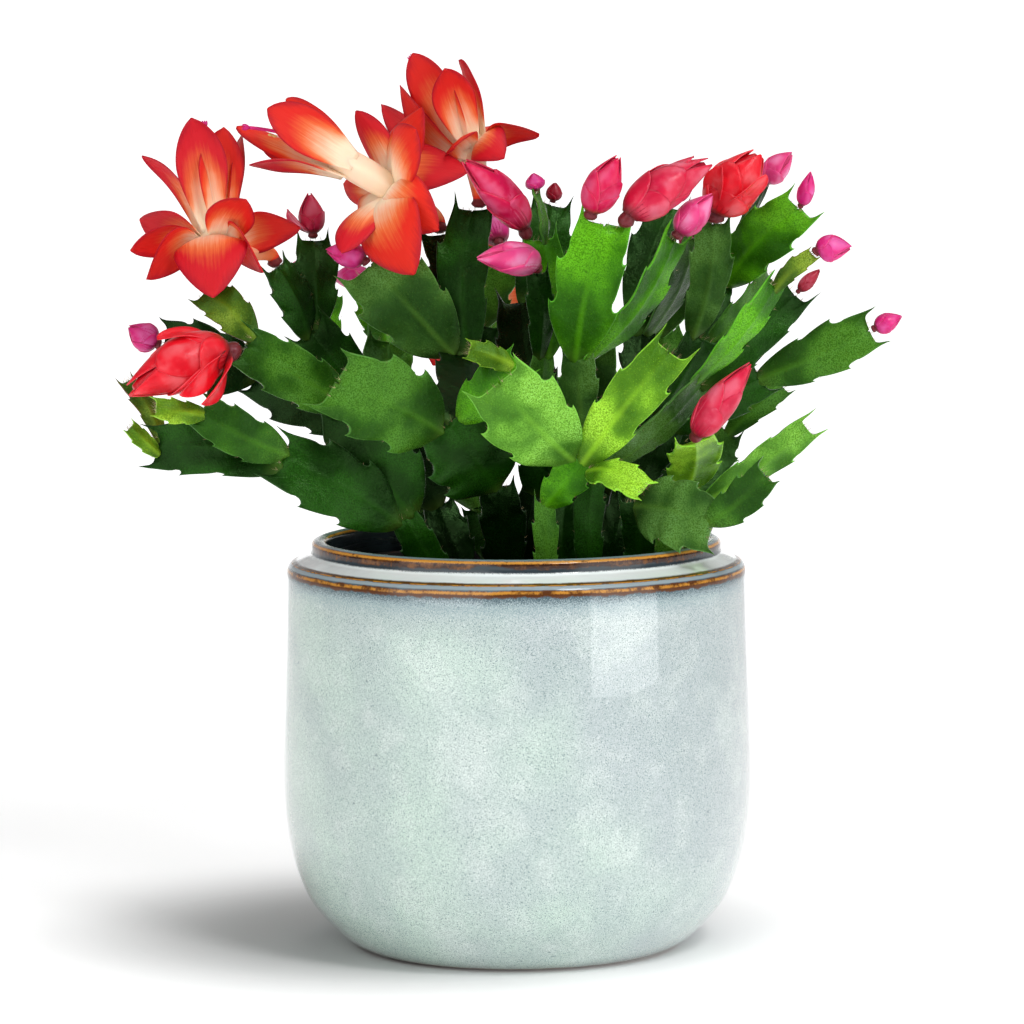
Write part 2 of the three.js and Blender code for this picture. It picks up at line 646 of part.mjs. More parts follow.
function styleSolid({ ring, mouth, style }) {
  const mouthPoint = seen(...mouth);
  const way = mouthPoint.clone().sub(seen(...ring)).normalize();
  const start = mouthPoint.clone().addScaledVector(way, clearance);
  const end = seen(...style);
  const control = start.clone().addScaledVector(way, 0.5 * start.distanceTo(end));
  const path = new THREE.QuadraticBezierCurve3(start, control, end);
  const styleShape = [[0, 1], [0.45, 1], [0.88, 1], [0.94, 2], [1, 0.7]];
  return loft(styleShape.map(([t, part]) => {
    return ringAt(path.getPoint(t), path.getTangent(t), styleRadius * part, styleSides);
  }));
}

function plasticPot() {
  const rimFlare = 2;
  const rimDeep = 7;
  const inner = plasticRimRadius - plasticWall;
  const innerFoot = plasticFootRadius - plasticWall;
  return turned([
    [0, plasticFloor], [plasticFootRadius, plasticFloor],
    [plasticRimRadius - 0.8, plasticRim - rimDeep],
    [plasticRimRadius + rimFlare - 0.4, plasticRim - rimDeep],
    [plasticRimRadius + rimFlare, plasticRim], [inner, plasticRim],
    [innerFoot, plasticFloor + plasticWall], [0, plasticFloor + plasticWall],
  ]);
}

// The soil fills the plastic pot; its top is rough, a little higher round the middle, with plain holes
// for the stems' woody feet.
function soilSolid() {
  const draw = drawsFrom(7);
  const bottom = plasticFloor + plasticWall + clearance;
  const innerAt = (z) => {
    const part = (z - plasticFloor) / (plasticRim - plasticFloor);
    return plasticFootRadius + part * (plasticRimRadius - plasticFootRadius) - plasticWall - 2 * clearance;
  };
  const edge = soilLevel - 2;
  const rings = [
    [innerAt(bottom) - 1, bottom], [innerAt(edge), edge], [42, soilLevel], [20, soilLevel + 1],
  ];
  const loops = rings.map(([radius, z], i) => Array.from({ length: roundSides }, (_, j) => {
    const angle = (2 * Math.PI * j) / roundSides;
    const rough = i > 1 ? soilRoughness * (draw() - 0.5) * 2 : 0;
    return new THREE.Vector3(radius * Math.cos(angle), radius * Math.sin(angle), z + rough);
  }));
  const whole = loft(loops);
  const holes = Object.values(stems).map(({ foot: [x, y] }) => {
    const upward = new THREE.Vector3(0, 0, 1);
    const low = new THREE.Vector3(x, y, soilLevel - stubDepth - clearance);
    const high = low.clone().setZ(soilLevel + stubRise);
    const radius = stubRadius + clearance / Math.cos(Math.PI / stubSides);
    return loft([ringAt(low, upward, radius, stubSides), ringAt(high, upward, radius, stubSides)]);
  });
  return holes.reduce((soil, hole) => soil.subtract(hole), whole);
}

const plant = new THREE.Group();
plant.add(meshOf('glazed_pot', turned(potOutline), glaze));
plant.add(meshOf('plastic_pot', plasticPot(), blackPlastic));
plant.add(meshOf('potting_soil', soilSolid(), pottingSoil));
Object.entries(stems).forEach(([name, stem], index) => {
  plant.add(meshOf(name, stemSolid(stem, index), padGreen));
});
Object.entries(blooms).forEach(([name, bloom]) => {
  plant.add(meshOf(name, bloomSolid(bloom), petalCoral));
  plant.add(meshOf(`${name}_style`, styleSolid(bloom), styleMagenta));
});
Object.entries(buds).forEach(([name, bud]) => plant.add(meshOf(name, budSolid(bud), budPink)));

export default plant;
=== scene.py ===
# The look of a flowering christmas cactus in a nursery pot that stands inside a round glazed planter.
# Lengths are millimetres here and become metres when a mesh is made. -Y is the front.

import math

import bpy
import numpy as np
from mathutils import Matrix, Vector


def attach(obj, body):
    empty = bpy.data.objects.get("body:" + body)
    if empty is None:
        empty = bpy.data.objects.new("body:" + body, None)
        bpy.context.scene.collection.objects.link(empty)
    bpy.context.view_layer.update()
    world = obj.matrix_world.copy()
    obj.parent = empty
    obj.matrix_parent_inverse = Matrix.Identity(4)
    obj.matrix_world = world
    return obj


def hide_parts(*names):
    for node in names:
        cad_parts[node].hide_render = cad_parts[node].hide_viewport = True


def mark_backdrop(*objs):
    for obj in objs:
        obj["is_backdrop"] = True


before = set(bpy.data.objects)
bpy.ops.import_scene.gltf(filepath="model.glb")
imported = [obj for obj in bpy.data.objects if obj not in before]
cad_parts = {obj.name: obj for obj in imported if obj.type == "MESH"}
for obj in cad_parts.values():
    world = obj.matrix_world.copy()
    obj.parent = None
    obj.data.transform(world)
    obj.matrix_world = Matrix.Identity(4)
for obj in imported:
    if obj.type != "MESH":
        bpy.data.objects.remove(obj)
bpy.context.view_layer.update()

MM = 0.001
WORD = 0xFFFFFFFF

# The eye that the plant's points are seen by, as in its solids
EYE_DISTANCE = 1588
EYE_HEIGHT = 304.2
EYE_SIDE = -1.27
EYE_PITCH = 5.94  # degrees down
EYE_ROLL = -0.3
LENS = 175.8
SENSOR = 36

# The pots, as in their solids
POT_HEIGHT = 131
POT_FLOOR = 6
PLASTIC_WALL = 1.4
PLASTIC_FLOOR = 6.3
PLASTIC_RIM = 122
PLASTIC_FOOT_RADIUS = 42.5
PLASTIC_RIM_RADIUS = 56.5
SOIL_LEVEL = 113
STUB_RADIUS = 2.6
STUB_DEPTH = 15
STUB_RISE = 6

# The joints of the stems (pads), as in their solids
NECK_HALF = 1.1
PAD_OVERLAP = 1.6
PAD_SWAY = 0.12
PAD_TWIST = 0.5
PAD_FOLD = (0.1, 0.16)
TOOTH_SLIP = 0.05
TOOTH_SIZE = (0.93, 0.14)
TIP_PART = 0.97
RIB_HALF = ((0, 0.75), (0.45, 1.45), (0.97, 0.95))
EDGE_HALF = 0.36
SEAT_GAP = 0.62
BUD_BEND = 0.22
PETAL_CUP = 0.24
PETAL_ROOT = 2.8
INNER_ROOT = 4.1
PETAL_WIDTH = (1.36, 1.12)  # outer and inner petals, beside their solids
PETAL_TO_FRONT = 0.45
MOUTH_PETALS_BELOW = 6
OVARY_LENGTH = 4
CLEARANCE = 0.3

# Colours, as red, green and blue light
GREEN = {
    # The near-black green is for joints far inside the plant, where shade falls: painted shade. The dark
    # green is the joints' own dark green, partly painted shade.
    "painted_shade": (0.0006, 0.0060, 0.0003),
    "dark": (0.0045, 0.031, 0.0012),
    "mid": (0.026, 0.098, 0.006),
    "bright": (0.045, 0.200, 0.003),
    "light": (0.150, 0.360, 0.016),
    "grey": (0.034, 0.100, 0.013),
    "pale": (0.095, 0.275, 0.024),
    "lime": (0.150, 0.300, 0.014),
    "young": (0.085, 0.155, 0.010),
    "wood": (0.040, 0.032, 0.014),
}
RIM_RED = (0.20, 0.040, 0.020)
CREAM = (0.99, 0.78, 0.57)
ORANGE = (0.94, 0.220, 0.058)
CORAL = (0.80, 0.022, 0.012)
CRIMSON = (0.36, 0.004, 0.022)
MAGENTA = (0.72, 0.016, 0.19)
ROSE = (0.70, 0.012, 0.055)
SCARLET = (0.90, 0.011, 0.026)
BLOOD = (0.66, 0.012, 0.024)
CHERRY = (0.70, 0.004, 0.070)
PINK = (0.86, 0.050, 0.230)
WINE = (0.60, 0.014, 0.070)
BUD_PALE = (0.90, 0.34, 0.42)
OVARY_RED = (0.16, 0.022, 0.028)

# Stems. Each joint: what it grows from, x and z of its tip, depth y, width, facing, lift, bow, and how far
# aside it starts, as in its solid; then its green.
STEMS = {
    "stem_left_front": ((-20, -20), {
        "a0": ("foot", -36, 138, -30, 12, 0, 0, 1, 0, "dark"),
        "a1": ("a0", -52, 175, -27, 30, -8, 0, 3, 2, "dark"),
        "a2": ("a0", -76, 157, -42, 22, 8, 10, 3, -2, "dark"),
        "a3": ("a2", -101, 172, -52, 15, 5, 0, 2, 2, "mid"),
        "a4": ("a2", -116, 160, -36, 18, 15, 10, 3, -2, "dark"),
        "a5": ("a3", -115, 173, -58, 8, 0, 20, 1, 0, "lime"),
        "a6": ("a4", -123, 167, -40, 6, 0, 30, 1, -2, "lime"),
        "a7": ("a4", -124, 182, -26, 7, 20, 0, 1, 2, "young"),
        "c1": ("a1", -87, 193, -38, 18, 0, 10, 3, 0, "mid"),
        "c2": ("c1", -99, 210, -28, 13, 10, 0, 2, 3.5, "young"),
    }),
    "stem_left_rear": ((-16, 6), {
        "d0": ("foot", -25, 142, 8, 14, 20, 0, 1, 0, "painted_shade"),
        "d1": ("d0", -44, 171, 8, 22, 20, 0, 2, 0, "painted_shade"),
        "d2": ("d1", -66, 198, 2, 20, 15, 0, 2, 2, "dark"),
        "d3": ("d2", -76, 218, -4, 13, 35, 0, 1, -2, "dark"),
        "d4": ("d2", -64, 227, 12, 14, 5, 0, 1, 2, "dark"),
        "d5": ("d1", -84, 184, 20, 20, -20, 10, 2, -2, "painted_shade"),
        "d6": ("d5", -113, 193, 22, 22, 0, 0, 2, 0, "painted_shade"),
    }),
    "stem_centre_left": ((-4, -8), {
        "b0": ("foot", -6, 148, -20, 15, 0, 0, 1, 0, "painted_shade"),
        "b1": ("b0", -22, 168, -34, 28, 10, 0, 2, 0, "dark"),
        "b2": ("b1", -58, 181, -56, 27, 0, 0, 3, -3, "mid"),
        "b3": ("b1", -17, 190, -8, 20, 10, 0, 2, 0, "painted_shade"),
        "b4": ("b1", 2, 187, -38, 15, -10, 0, 2, 3, "bright"),
        "b5": ("b4", -15, 191, -42, 8, 0, 20, 1, 0, "lime"),
        "b6": ("b3", -47, 219, -12, 26, -8, 5, 3, -2.5, "grey"),
        "b7": ("b3", -13, 237, -4, 17, 0, 0, 2, 2.5, "dark"),
        "b8": ("b3", -24, 229, 8, 16, 10, 0, 1, 0, "painted_shade"),
    }),
    "stem_front": ((9, -34), {
        "j0": ("foot", 9, 143, -38, 8, 0, 0, 1, 0, "mid"),
        "j1": ("j0", 22, 155, -42, 12, 0, 0, 1, 0, "bright"),
        "j2": ("j1", -6, 181, -54, 27, -10, 5, 3, -2.5, "pale"),
        "j3": ("j1", 50, 191, -50, 17, 5, 0, 2, 0, "light"),
        "j4": ("j1", 41, 146, -56, 12, 0, 40, 3, 2.5, "light"),
    }),
    "stem_centre": ((15, -10), {
        "h0": ("foot", 16, 143, -12, 9, 0, 0, 1, 0, "dark"),
        "h1": ("h0", 22, 166, -16, 15, 15, 0, 1, 0, "dark"),
        "h2": ("h1", 20, 189, -22, 13, 0, 0, 1, 0, "grey"),
        "h3": ("h2", 29, 232, -30, 21, 0, 0, 3, -1, "bright"),
        "h4": ("h2", 51, 227, -20, 14, 55, 0, 2, 2.5, "bright"),
    }),
    "stem_centre_rear": ((1, 12), {
        "g0": ("foot", 6, 146, 10, 12, 10, 0, 1, 0, "painted_shade"),
        "g1": ("g0", 9, 168, 6, 16, 0, 0, 1, 0, "dark"),
        "g2": ("g1", 9, 190, 2, 10, 30, 0, 1, -2, "mid"),
        "g3": ("g2", 8, 227, -2, 14, 8, 0, 2, 1.5, "bright"),
        "g4": ("g3", 7, 241, -2, 9, 75, 0, 1, 1.5, "mid"),
        "g5": ("g1", 2, 208, 22, 20, -20, 0, 1, 2, "painted_shade"),
        "g6": ("g5", 12, 238, 26, 16, 0, 0, 1, 0, "dark"),
        "g7": ("g2", 7, 216, -12, 9, 10, 0, 1, -1.5, "dark"),
    }),
    "stem_right_front": ((24, -24), {
        "k0": ("foot", 25, 153, -26, 10, 0, 0, 1, 0, "dark"),
        "k1": ("k0", 60, 181, -28, 14, 60, 0, 2, 0, "grey"),
        "k2": ("k1", 83, 212, -34, 12, 50, 0, 2, -2, "bright"),
        "k3": ("k1", 90, 209, -18, 14, 0, 0, 2, 2, "dark"),
        "k4": ("k2", 95, 221, -36, 6, 0, 0, 1, 1.5, "young"),
    }),
    "stem_right_middle": ((28, -6), {
        "l0": ("foot", 36, 148, -3, 11, 20, 0, 1, 0, "painted_shade"),
        "l1": ("l0", 50, 167, -1, 12, 10, 0, 1, 0, "painted_shade"),
        "l2": ("l1", 79, 182, -6, 16, 30, 10, 2, 0, "dark"),
        "l3": ("l2", 114, 197, -10, 16, 0, 0, 2, 0, "mid"),
    }),
    "stem_right_low": ((38, -22), {
        "o0": ("foot", 37, 143, -34, 11, 0, 0, 1, 0, "dark"),
        "o1": ("o0", 63, 134, -46, 22, -15, 10, 3, 0, "grey"),
        "o2": ("o1", 80, 151, -54, 12, 0, 10, 1, 0, "mid"),
    }),
    "stem_right_outer": ((42, 4), {
        "p0": ("foot", 58, 145, 0, 14, 10, 0, 1, 0, "mid"),
        "p1": ("p0", 57, 162, -37, 17, -10, 65, 2, -3, "light"),
        "p2": ("p0", 94, 166, -4, 12, 45, 10, 2, 3, "pale"),
        "p3": ("p0", 68, 165, 14, 13, 0, 0, 1, 0, "mid"),
        "p4": ("p3", 86, 179, 16, 9, 0, 0, 1, 0, "mid"),
    }),
    "stem_right_rear": ((24, 18), {
        "n0": ("foot", 31, 146, 20, 12, 0, 0, 1, 0, "painted_shade"),
        "n1": ("n0", 44, 172, 18, 18, 20, 0, 2, 0, "painted_shade"),
        "n2": ("n1", 60, 195, 12, 16, 30, 0, 2, 2, "dark"),
        "n3": ("n2", 65, 213, 22, 12, 0, 0, 1, 0, "dark"),
        "n4": ("n3", 79, 243, 22, 9, 60, 0, 2, -2, "dark"),
        "n5": ("n2", 82, 214, 24, 14, 55, 0, 2, 3, "mid"),
        "n6": ("n3", 91, 236, -2, 18, -5, 0, 2, 2, "bright"),
        "n7": ("n1", 40, 197, 26, 13, 20, 0, 1, -2, "painted_shade"),
        "n8": ("n7", 57, 227, 16, 13, 50, 0, 1, 2, "grey"),
        "n9": ("n7", 50, 237, 38, 15, 0, 0, 1, -2, "dark"),
        "n10": ("n2", 63, 232, 0, 14, 10, 0, 1, -3, "grey"),
    }),
    "stem_rear_left": ((-22, 24), {
        "q0": ("foot", -32, 140, 36, 13, 160, 0, 1, 0, "dark"),
        "q1": ("q0", -46, 166, 44, 21, 160, 0, 2, 0, "mid"),
        "q2": ("q1", -62, 190, 52, 20, 140, 0, 2, 2, "mid"),
        "q3": ("q2", -64, 214, 60, 16, 150, 10, 2, 0, "bright"),
        "q4": ("q1", -40, 194, 58, 20, 200, 0, 2, -2, "mid"),
        "q5": ("q4", -46, 212, 76, 15, 190, 20, 2, 0, "bright"),
        "q6": ("q0", -62, 149, 60, 18, 160, 30, 2, -2.5, "mid"),
    }),
    "stem_rear_middle": ((-6, 34), {
        "s0": ("foot", -12, 141, 42, 14, 180, 0, 1, 0, "dark"),
        "s1": ("s0", -18, 168, 50, 21, 200, 0, 2, 0, "mid"),
        "s2": ("s1", -11, 200, 50, 22, 160, 0, 2, 2, "dark"),
        "s3": ("s2", -5, 224, 56, 20, 165, 0, 2, 0, "mid"),
        "s4": ("s1", -6, 184, 74, 18, 195, 20, 2, -2, "bright"),
        "s5": ("s4", -10, 203, 94, 15, 175, 20, 2, 0, "pale"),
    }),
    "stem_rear": ((12, 38), {
        "t0": ("foot", 15, 140, 52, 14, 180, 0, 1, 0, "dark"),
        "t1": ("t0", 19, 164, 60, 20, 160, 0, 2, 0, "mid"),
        "t2": ("t1", 26, 192, 62, 19, 150, 0, 2, -2, "mid"),
        "t3": ("t2", 20, 216, 72, 16, 200, 10, 2, 0, "bright"),
        "t4": ("t1", 40, 176, 84, 17, 150, 20, 2, 2, "mid"),
    }),
    "stem_rear_right": ((30, 30), {
        "u0": ("foot", 38, 141, 42, 13, 150, 0, 1, 0, "dark"),
        "u1": ("u0", 50, 168, 48, 20, 150, 0, 2, 0, "dark"),
        "u2": ("u1", 46, 197, 54, 18, 190, 0, 2, -2, "mid"),
        "u3": ("u2", 54, 222, 58, 15, 150, 0, 2, 0, "mid"),
        "u4": ("u1", 64, 182, 68, 17, 130, 20, 2, 2, "bright"),
        "u5": ("u0", 66, 150, 60, 18, 140, 30, 2, 2.5, "mid"),
    }),
}

# Blooms: the joint that carries each and how far aside, the middle of its first ring of petals, the mouth
# of its tube, the tip of its style, and its petals: ring, x and z of the tip, y, width.
BLOOMS = {
    "bloom_left": (("d3", 0), (-95, 224, -17), (-96, 233, -13), (-98, 264, -7), (
        (0, -119, 233, -14, 13), (0, -122, 223, -22, 9), (0, -117, 214, -28, 11), (0, -96, 208, -38, 17),
        (0, -80, 216, -28, 12), (0, -68, 230, -14, 12), (0, -92, 230, 12, 12), (0, -85, 239, -36, 11),
        (1, -102, 265, -25, 14), (1, -92, 262, -16, 13), (1, -86, 260, -4, 11),
        (1, -118, 253, -16, 7),
    )),
    "bloom_middle": (("b8", 0), (-39, 242, -6), (-57, 253, -10), (-86, 262, -18), (
        (0, -50, 267, 4, 8), (0, -29, 268, -6, 12), (0, -31, 261, -26, 13), (0, -14, 248, -10, 13),
        (0, -24, 229, -24, 14), (0, -32, 215, -34, 17), (0, -55, 222, -26, 10), (0, -45, 219, 4, 12),
        (0, -54, 244, 18, 10),
        (1, -72, 271, -6, 9), (1, -78, 268, -22, 13), (1, -84, 250, -20, 12), (1, -80, 256, -2, 10),
        (1, -88, 262, -10, 9),
    )),
    "bloom_top": (("b7", 2), (-13, 253, 6), (-16, 260, 7), (-33, 284, 6), (
        (0, -42, 269, 12, 10), (0, -36, 275, 4, 7), (0, -19, 255, -16, 9), (0, -3, 252, -10, 11),
        (0, 8, 259, 4, 9), (0, -4, 262, 34, 12),
        (1, -32, 285, 0, 13), (1, -22, 280, -10, 12), (1, -17, 283, 12, 11), (1, -30, 276, 22, 9),
    )),
    "bloom_rear": (("s5", 0), (-12, 206, 108), (-14, 209, 118), (-16, 210, 146), (
        (0, -38, 210, 108, 13), (0, -26, 186, 108, 14), (0, 2, 184, 110, 14), (0, 14, 208, 108, 13),
        (0, -10, 232, 102, 13),
        (1, -32, 212, 140, 11), (1, -14, 192, 144, 12), (1, 6, 206, 142, 11), (1, -12, 228, 138, 11),
    )),
}

# Buds: the joint that carries each and how far aside, x and z of its tip, depth y, width, its colour and
# how far its petals' tips stand open.
BUDS = {
    "bud_left_red": ("c1", -3, -123, 178, -54, 16, SCARLET, 1.6),
    "bud_left_outer": ("d6", 0, -123, 199, 20, 9, MAGENTA, 0),
    "bud_left_inner": ("b6", 0, -60, 223, -10, 8, MAGENTA, 0),
    "bud_left_upper": ("d4", 0, -65, 241, 12, 8, WINE, 0.5),
    "bud_middle_tall": ("g3", -4.5, -16, 251, -26, 11, CHERRY, 0.4),
    "bud_middle_low": ("g7", 0, -12, 220, -34, 10, PINK, 0),
    "bud_middle_tip": ("g4", 0, 6, 247, -3, 6, MAGENTA, 0),
    "bud_middle_small": ("g6", 0, 13, 244, 24, 5, CRIMSON, 0),
    "bud_front_upright": ("h3", -5, 33, 252, -38, 11, CHERRY, 0.5),
    "bud_front_large": ("h3", 6, 62, 250, -24, 13, ROSE, 1.2),
    "bud_front_side": ("h4", 0, 63, 240, -24, 9, PINK, 0),
    "bud_right_red": ("n10", 0, 78, 253, -5, 16, SCARLET, 1.4),
    "bud_right_pink": ("n4", 0, 88, 253, 16, 8, PINK, 0.2),
    "bud_right_rear": ("n9", 0, 56, 249, 40, 8, MAGENTA, 0),
    "bud_right_inner": ("n8", 0, 62, 239, 18, 6, CRIMSON, 0),
    "bud_right_tip": ("n6", 0, 94, 247, -7, 5, MAGENTA, 0),
    "bud_right_side": ("k4", 0, 107, 223, -38, 8, MAGENTA, 0.2),
    "bud_right_young": ("k3", 0, 97, 216, -18, 4, CRIMSON, 0),
    "bud_right_outer": ("l3", 0, 123, 201, -11, 6, MAGENTA, 0),
    "bud_right_hanging": ("p1", 0, 75, 186, -44, 10, ROSE, 0.4),
    "bud_rear_left": ("q3", 0, -72, 213, 80, 9, MAGENTA, 0.2),
    "bud_rear_outer": ("q5", 0, -58, 214, 92, 8, MAGENTA, 0),
    "bud_rear_middle": ("s3", 0, -10, 233, 72, 9, MAGENTA, 0.2),
    "bud_rear_upper": ("t3", 0, 26, 222, 88, 10, ROSE, 0.5),
    "bud_rear_low": ("t4", 0, 50, 178, 102, 8, MAGENTA, 0),
    "bud_rear_right": ("u3", 0, 62, 228, 72, 9, MAGENTA, 0.2),
}

# Petals that stand off a bud: x and z of the tip, depth y, width
LOOSE_PETALS = {
    "bud_left_red": ((-114, 195, -50, 9), (-100, 174, -60, 10), (-107, 177, -68, 9)),
    "bud_left_upper": ((-72, 236, 8, 5),),
    "bud_front_large": ((57, 252, -26, 7),),
    "bud_right_red": ((66, 249, -12, 8), (80, 246, -14, 8)),
}


# Node trees

def add_node(tree, kind, settings=None, inputs=None):
    """One node of a tree: its settings first, then the values or links of its sockets."""
    node = tree.nodes.new(kind)
    for name, value in (settings or {}).items():
        setattr(node, name, value)
    for key, value in (inputs or {}).items():
        value = getattr(value, "socket", value)
        if isinstance(value, bpy.types.NodeSocket):
            tree.links.new(value, node.inputs[key])
        else:
            node.inputs[key].default_value = value
    return node


def maker(tree):
    """A short way to add a node to the tree and take one of its outputs."""
    def make(kind, settings=None, inputs=None, output=0):
        return add_node(tree, kind, settings, inputs).outputs[output]

    return make


class Amount:
    """A number that changes over a surface: sums on it add their nodes."""

    def __init__(self, finish, socket):
        self.finish = finish
        self.socket = socket

    def sum(self, operation, first, second):
        return self.finish.node("ShaderNodeMath", {"operation": operation}, {0: first, 1: second})

    def __add__(self, other):
        return self.sum("ADD", self, other)

    __radd__ = __add__

    def __sub__(self, other):
        return self.sum("SUBTRACT", self, other)

    def __mul__(self, other):
        return self.sum("MULTIPLY", self, other)

    __rmul__ = __mul__

    def __truediv__(self, other):
        return self.sum("DIVIDE", self, other)

    def __pow__(self, other):
        return self.sum("POWER", self, other)

    def __abs__(self):
        return self.sum("ABSOLUTE", self, 0)

    def step(self, start, end):
        """0 before start, 1 after end and smooth between; end may be the smaller."""
        flip = end < start
        low, high = sorted((start, end))
        return self.finish.node(
            "ShaderNodeMapRange", {"interpolation_type": "SMOOTHSTEP"},
            {0: self, 1: low, 2: high, 3: 1.0 if flip else 0.0, 4: 0.0 if flip else 1.0},
        )

    def band(self, middle, half, soft):
        """1 within half of the middle, fading to 0 over soft."""
        return abs(self - middle).step(half + soft, half)


class Finish:
    """A material: one Principled shader, with what changes over the surface written as sums."""

    def __init__(self, name, **constants):
        self.material = bpy.data.materials.new(name)
        self.material.use_nodes = True
        self.tree = self.material.node_tree
        self.shader = self.tree.nodes["Principled BSDF"]
        for key, value in constants.items():
            self.shader.inputs[key.replace("_", " ").title().replace("Ior", "IOR")].default_value = value

    def node(self, kind, settings=None, inputs=None, output=0):
        return Amount(self, add_node(self.tree, kind, settings, inputs).outputs[output])

    def place(self):
        return self.node("ShaderNodeTexCoord", output="Object")

    def split(self, vector):
        node = add_node(self.tree, "ShaderNodeSeparateXYZ", None, {0: vector})
        return [Amount(self, socket) for socket in node.outputs]

    def joined(self, x, y, z):
        return self.node("ShaderNodeCombineXYZ", None, {0: x, 1: y, 2: z})

    def own(self, name, output="Fac"):
        return self.node("ShaderNodeAttribute", {"attribute_name": name}, None, output)

    def noise(self, scale, vector=None, detail=2.0, rough=0.5):
        inputs = {"Vector": vector or self.place(), "Scale": scale, "Detail": detail, "Roughness": rough}
        return self.node("ShaderNodeTexNoise", None, inputs)

    def cells(self, scale):
        return self.node("ShaderNodeTexVoronoi", None, {"Vector": self.place(), "Scale": scale})

    def mix(self, factor, first, second, blend="MIX"):
        """A colour between two colours, each a link or a red, green and blue."""
        pair = [(*c, 1.0) if isinstance(c, tuple) else c for c in (first, second)]
        settings = {"data_type": "RGBA", "blend_type": blend, "clamp_factor": True}
        return self.node("ShaderNodeMix", settings, {0: factor, 6: pair[0], 7: pair[1]}, 2)

    def times(self, color, red, green, blue):
        """The colour, each of its three parts multiplied."""
        return self.mix(1.0, color, (red, green, blue), "MULTIPLY")

    def link(self, key, value):
        self.tree.links.new(value.socket, self.shader.inputs[key])

    def finish(self, color, roughness=None, height=None, depth=0.0002, strength=0.5):
        """Links the colour and, where given, the roughness and the relief, whose full height is depth."""
        links = {"Base Color": color, "Roughness": roughness}
        if height is not None:
            bump = {"Height": height, "Distance": depth, "Strength": strength}
            links["Normal"] = self.node("ShaderNodeBump", None, bump)
        for key, value in links.items():
            if value is not None:
                self.link(key, value)
        return self.material


# Meshes

def placed(name, data):
    """An object for the mesh, light or camera, linked to the scene."""
    thing = bpy.data.objects.new(name, data)
    bpy.context.scene.collection.objects.link(thing)
    return thing


class Piece:
    """The points, faces and named values of one piece, gathered part by part."""

    def __init__(self):
        self.points = []
        self.faces = []
        self.values = {}
        self.count = 0

    def add(self, points, faces, **values):
        """Adds a closed part, turned the right way out. A value is one for all points, or one a point."""
        first, second, third = (points[faces[:, i]] for i in range(3))
        volume = np.einsum("ij,ij->i", first, np.cross(second, third)).sum()
        fourth = points[faces[:, 3]]
        volume += np.einsum("ij,ij->i", first, np.cross(third, fourth)).sum()
        if volume < 0:
            faces = faces[:, ::-1]
        self.points.append(points)
        self.faces.append(faces + self.count)
        for name, value in values.items():
            value = np.asarray(value, float)
            shape = (len(points), 3) if value.shape[-1:] == (3,) else (len(points),)
            self.values.setdefault(name, []).append(np.broadcast_to(value, shape))
        self.count += len(points)

    def build(self, name, finish, smooth=True):
        """The piece as an object, its values kept as attributes; corners that meet are left out."""
        mesh = bpy.data.meshes.new(name)
        points = np.concatenate(self.points) * MM
        faces = np.concatenate(self.faces)
        kept = [[p for i, p in enumerate(face) if p != face[i - 1]] for face in faces.tolist()]
        mesh.from_pydata(points.tolist(), [], [face for face in kept if len(face) > 2])
        for key, parts in self.values.items():
            values = np.concatenate(parts)
            if values.ndim == 2:
                layer = mesh.attributes.new(key, "FLOAT_COLOR", "POINT")
                filled = np.concatenate([values, np.ones((len(values), 1))], 1)
                layer.data.foreach_set("color", filled.ravel())
            else:
                mesh.attributes.new(key, "FLOAT", "POINT").data.foreach_set("value", values)
        if smooth:
            mesh.shade_smooth()
        else:
            mesh.shade_flat()
        mesh.materials.append(finish)
        return placed(name, mesh)


def grid_faces(rows, columns, ring=False):
    """The four-cornered faces between rows of points, each row open or closed to a ring."""
    spans = columns if ring else columns - 1
    row, column = np.meshgrid(np.arange(rows - 1), np.arange(spans), indexing="ij")
    here = row * columns + column
    beside = row * columns + (column + 1) % columns
    return np.stack([here, beside, beside + columns, here + columns], -1).reshape(-1, 4)


def blade(front, back):
    """A closed thin part between two sheets of rows of points."""
    rows, columns = front.shape[:2]
    count = rows * columns
    sheet = grid_faces(rows, columns)
    number = np.arange(count).reshape(rows, columns)
    border = np.concatenate([number[0, :-1], number[:-1, -1], number[-1, :0:-1], number[:0:-1, 0]])
    after = np.roll(border, -1)
    wall = np.stack([border, border + count, after + count, after], -1)
    faces = np.concatenate([sheet, sheet[:, ::-1] + count, wall])
    return np.concatenate([front.reshape(-1, 3), back.reshape(-1, 3)]), faces


def twice(values):
    """The values of a blade's points, the same on both of its sheets."""
    return np.concatenate([values.reshape(-1), values.reshape(-1)])


def ringed(rings):
    """A closed part through rings of points, with its two ends drawn to their middles."""
    rows, columns = rings.shape[:2]
    points = rings.reshape(-1, 3)
    ends = np.stack([rings[0].mean(0), rings[-1].mean(0)])
    number = np.arange(rows * columns).reshape(rows, columns)
    caps = []
    for ring, end in ((number[0][::-1], rows * columns), (number[-1], rows * columns + 1)):
        after = np.roll(ring, -1)
        caps.append(np.stack([ring, after, np.full(columns, end), np.full(columns, end)], -1))
    faces = np.concatenate([grid_faces(rows, columns, True), *caps])
    return np.concatenate([points, ends]), faces


def unit(vectors):
    """Each vector at length 1."""
    return vectors / np.maximum(np.linalg.norm(vectors, axis=-1, keepdims=True), 1e-9)


def square_to(along):
    """Two directions square to each of the given ones, which don't turn suddenly along a path."""
    first = np.array((0.0, 0.0, 1.0)) if abs(along[0][2]) < 0.9 else np.array((0.0, 1.0, 0.0))
    sides = []
    for way in along:
        first = unit(first - way * first.dot(way))
        sides.append(first)
    sides = np.array(sides)
    return sides, np.cross(along, sides)


def around(sides):
    """Even angles round a circle."""
    return np.arange(sides) * 2 * math.pi / sides


def level_ring(radii, heights, sides):
    """A ring of points round the pot's axis; its radius and height may change from point to point."""
    angle = around(sides)
    return np.stack([radii * np.cos(angle), radii * np.sin(angle), np.broadcast_to(heights, (sides,))], -1)


